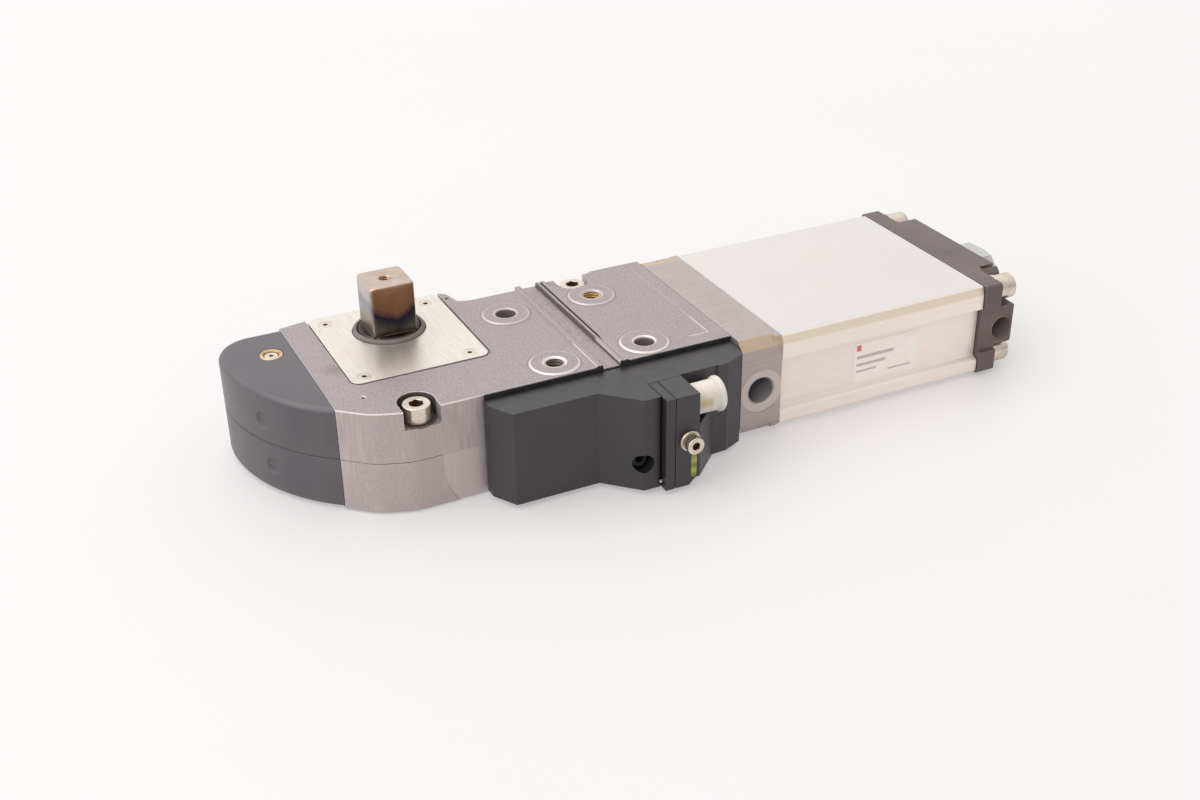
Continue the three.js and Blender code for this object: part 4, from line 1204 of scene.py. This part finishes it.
def build_connector():
    c = centre("connector_shell")
    at = (0, c[1], c[2])
    shell = [(0, 103.5), (4.9, 103.5), (4.9, 107.8), (6, 107.8), (6, 109)]
    x = 109.5
    while x < 116:
        shell += [(5.6, x), (6, x + 0.5)]
        x += 1.0
    shell += [(6, 116.7), (5.7, 117), (4.6, 117), (4.6, 112), (0, 112)]
    ob = lathe(shell, "x", at, 40)
    pins = []
    for a in (0.8, 2.4, 3.9, 5.5):
        pin_at = (0, c[1] + 2.5 * math.cos(a), c[2] + 2.5 * math.sin(a))
        pins.append(rod(0.5, (111.5, 115.5), "x", pin_at, 12))
    join(ob, *pins)
    piece(ob, "plug_shell", BRASS, ["connector_shell"], bevel=0)
    cap = [
        (0, 119.4), (6.4, 119.4), (6.4, 108.2), (7.1, 108.2), (7.35, 108.5), (7.4, 119.8), (8.0, 120.3),
        (8.4, 120.9), (8.4, 122.1), (8.0, 122.6), (6.4, 122.6), (6.0, 121.8), (0, 121.8),
    ]
    piece(lathe(cap, "x", at, 64), "dust_cap", CAP_FILM, ["connector_cap"], bevel=0)


build_body()
build_cap(True)
build_cap(False)
screw("body_fastener_near", "body_screw_near", 6.5, 8, 4, 6)
screw("body_fastener_far", "body_screw_far", 6.5, 8, 4, 6)
build_plate()
build_shaft()
build_rod_cover()
build_tube()
build_head()
build_switch()
build_connector()

# ------------------------------------------------------------------ inner pieces keep their solids

INNER = {
    "bottom_cover": PLATE, "shaft_bush_upper": BRONZE, "shaft_bush_lower": BRONZE, "rod_bush": BRONZE,
    "rod_seal": RUBBER, "piston_ring": RUBBER, "piston": TUBE, "piston_rod": STEEL, "knuckle": STEEL,
    "knuckle_pin_lower": STEEL, "knuckle_pin_upper": STEEL, "lever_pin": STEEL, "striker": STEEL,
    "toggle_link": STEEL, "guide_roller_lower": STEEL, "guide_roller_upper": STEEL,
    "proximity_head_1": WHITE, "proximity_head_2": WHITE,
}
for node, paint in INNER.items():
    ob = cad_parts[node]
    ob.data.materials.clear()
    ob.data.materials.append(paint)
    mod = ob.modifiers.new("flatten", "DECIMATE")
    mod.decimate_type = "DISSOLVE"
    mod.angle_limit = math.radians(1)
    mod = ob.modifiers.new("edges", "BEVEL")
    mod.width = 0.3 * MM
    mod.segments = 2
    mod.limit_method = "ANGLE"
    mod.angle_limit = math.radians(40)


# ------------------------------------------------------------------ stage, light and camera

def build_stage():
    bpy.ops.mesh.primitive_plane_add(size=30, location=(0, 0, -0.0002))
    floor = bpy.context.object
    floor.name = "pale_floor"
    p = Paint("pale_floor", roughness=0.55)
    p.colour(p.ramp(p.noise(3, 3), [(0.3, (0.36, 0.35, 0.351, 1)), (0.7, (0.37, 0.36, 0.361, 1))]))
    p.shader.inputs["Emission Color"].default_value = (1.0, 0.965, 0.965, 1)
    p.shader.inputs["Emission Strength"].default_value = 0.385
    p.bumps((p.noise(60, 3), 0.02, 0.0005))
    floor.data.materials.append(p.mat)

    # the room is brightest behind, above and to the left, and dimmer where the photographer stands
    world = bpy.data.worlds.new("studio")
    bpy.context.scene.world = world
    world.use_nodes = True
    nodes, links = world.node_tree.nodes, world.node_tree.links
    direction = nodes.new("ShaderNodeTexCoord").outputs["Generated"]
    dot = nodes.new("ShaderNodeVectorMath")
    dot.operation = "DOT_PRODUCT"
    links.new(direction, dot.inputs[0])
    dot.inputs[1].default_value = Vector((-0.45, 0.6, 0.66)).normalized()
    span = nodes.new("ShaderNodeMapRange")
    links.new(dot.outputs["Value"], span.inputs["Value"])
    span.inputs["From Min"].default_value = -1
    span.inputs["From Max"].default_value = 1
    shades = nodes.new("ShaderNodeValToRGB")
    links.new(span.outputs["Result"], shades.inputs["Fac"])
    shades.color_ramp.elements[0].position = 0.12
    shades.color_ramp.elements[0].color = (0.47, 0.435, 0.42, 1)
    shades.color_ramp.elements[1].position = 0.8
    shades.color_ramp.elements[1].color = (1.0, 0.985, 0.985, 1)
    sky = nodes["Background"]
    links.new(shades.outputs["Color"], sky.inputs["Color"])
    sky.inputs["Strength"].default_value = 1.22


def area(name, location, target, size, power, colour=(1, 1, 1)):
    data = bpy.data.lights.new(name, "AREA")
    data.shape = "RECTANGLE"
    data.size, data.size_y = size
    data.energy = power
    data.color = colour
    ob = bpy.data.objects.new(name, data)
    bpy.context.scene.collection.objects.link(ob)
    ob.location = location
    ob.rotation_euler = (Vector(target) - Vector(location)).to_track_quat("-Z", "Y").to_euler()


def build_camera():
    yaw, pitch, roll = math.radians(25.651), math.radians(29.248), math.radians(-0.809)
    forward = Vector((math.sin(yaw) * math.cos(pitch), math.cos(yaw) * math.cos(pitch), -math.sin(pitch)))
    right = Vector((math.cos(yaw), -math.sin(yaw), 0))
    up = right.cross(forward)
    right_r = right * math.cos(roll) + up * math.sin(roll)
    up_r = up * math.cos(roll) - right * math.sin(roll)
    data = bpy.data.cameras.new("camera")
    data.sensor_width = 36
    data.lens = 46.265
    data.clip_start = 0.01
    camera = bpy.data.objects.new("camera", data)
    bpy.context.scene.collection.objects.link(camera)
    turn = Matrix((right_r, up_r, -forward)).transposed().to_4x4()
    camera.matrix_world = Matrix.Translation((-0.193455, -0.632028, 0.383492)) @ turn
    bpy.context.scene.camera = camera


build_stage()
area("left_softbox", (-1.3, -0.2, 1.0), (0.1, -0.03, 0.02), (1.2, 1.0), 7, (1.0, 0.985, 0.98))
sun_data = bpy.data.lights.new("ceiling_light", "SUN")
sun_data.energy = 0.9
sun_data.angle = math.radians(50)
sun = bpy.data.objects.new("ceiling_light", sun_data)
bpy.context.scene.collection.objects.link(sun)
sun.rotation_euler = Vector((0.35, -0.3, -1)).to_track_quat("-Z", "Y").to_euler()
build_camera()
view = bpy.context.scene.view_settings
view.view_transform = "Standard"
view.look = "None"
view.exposure = 0.0
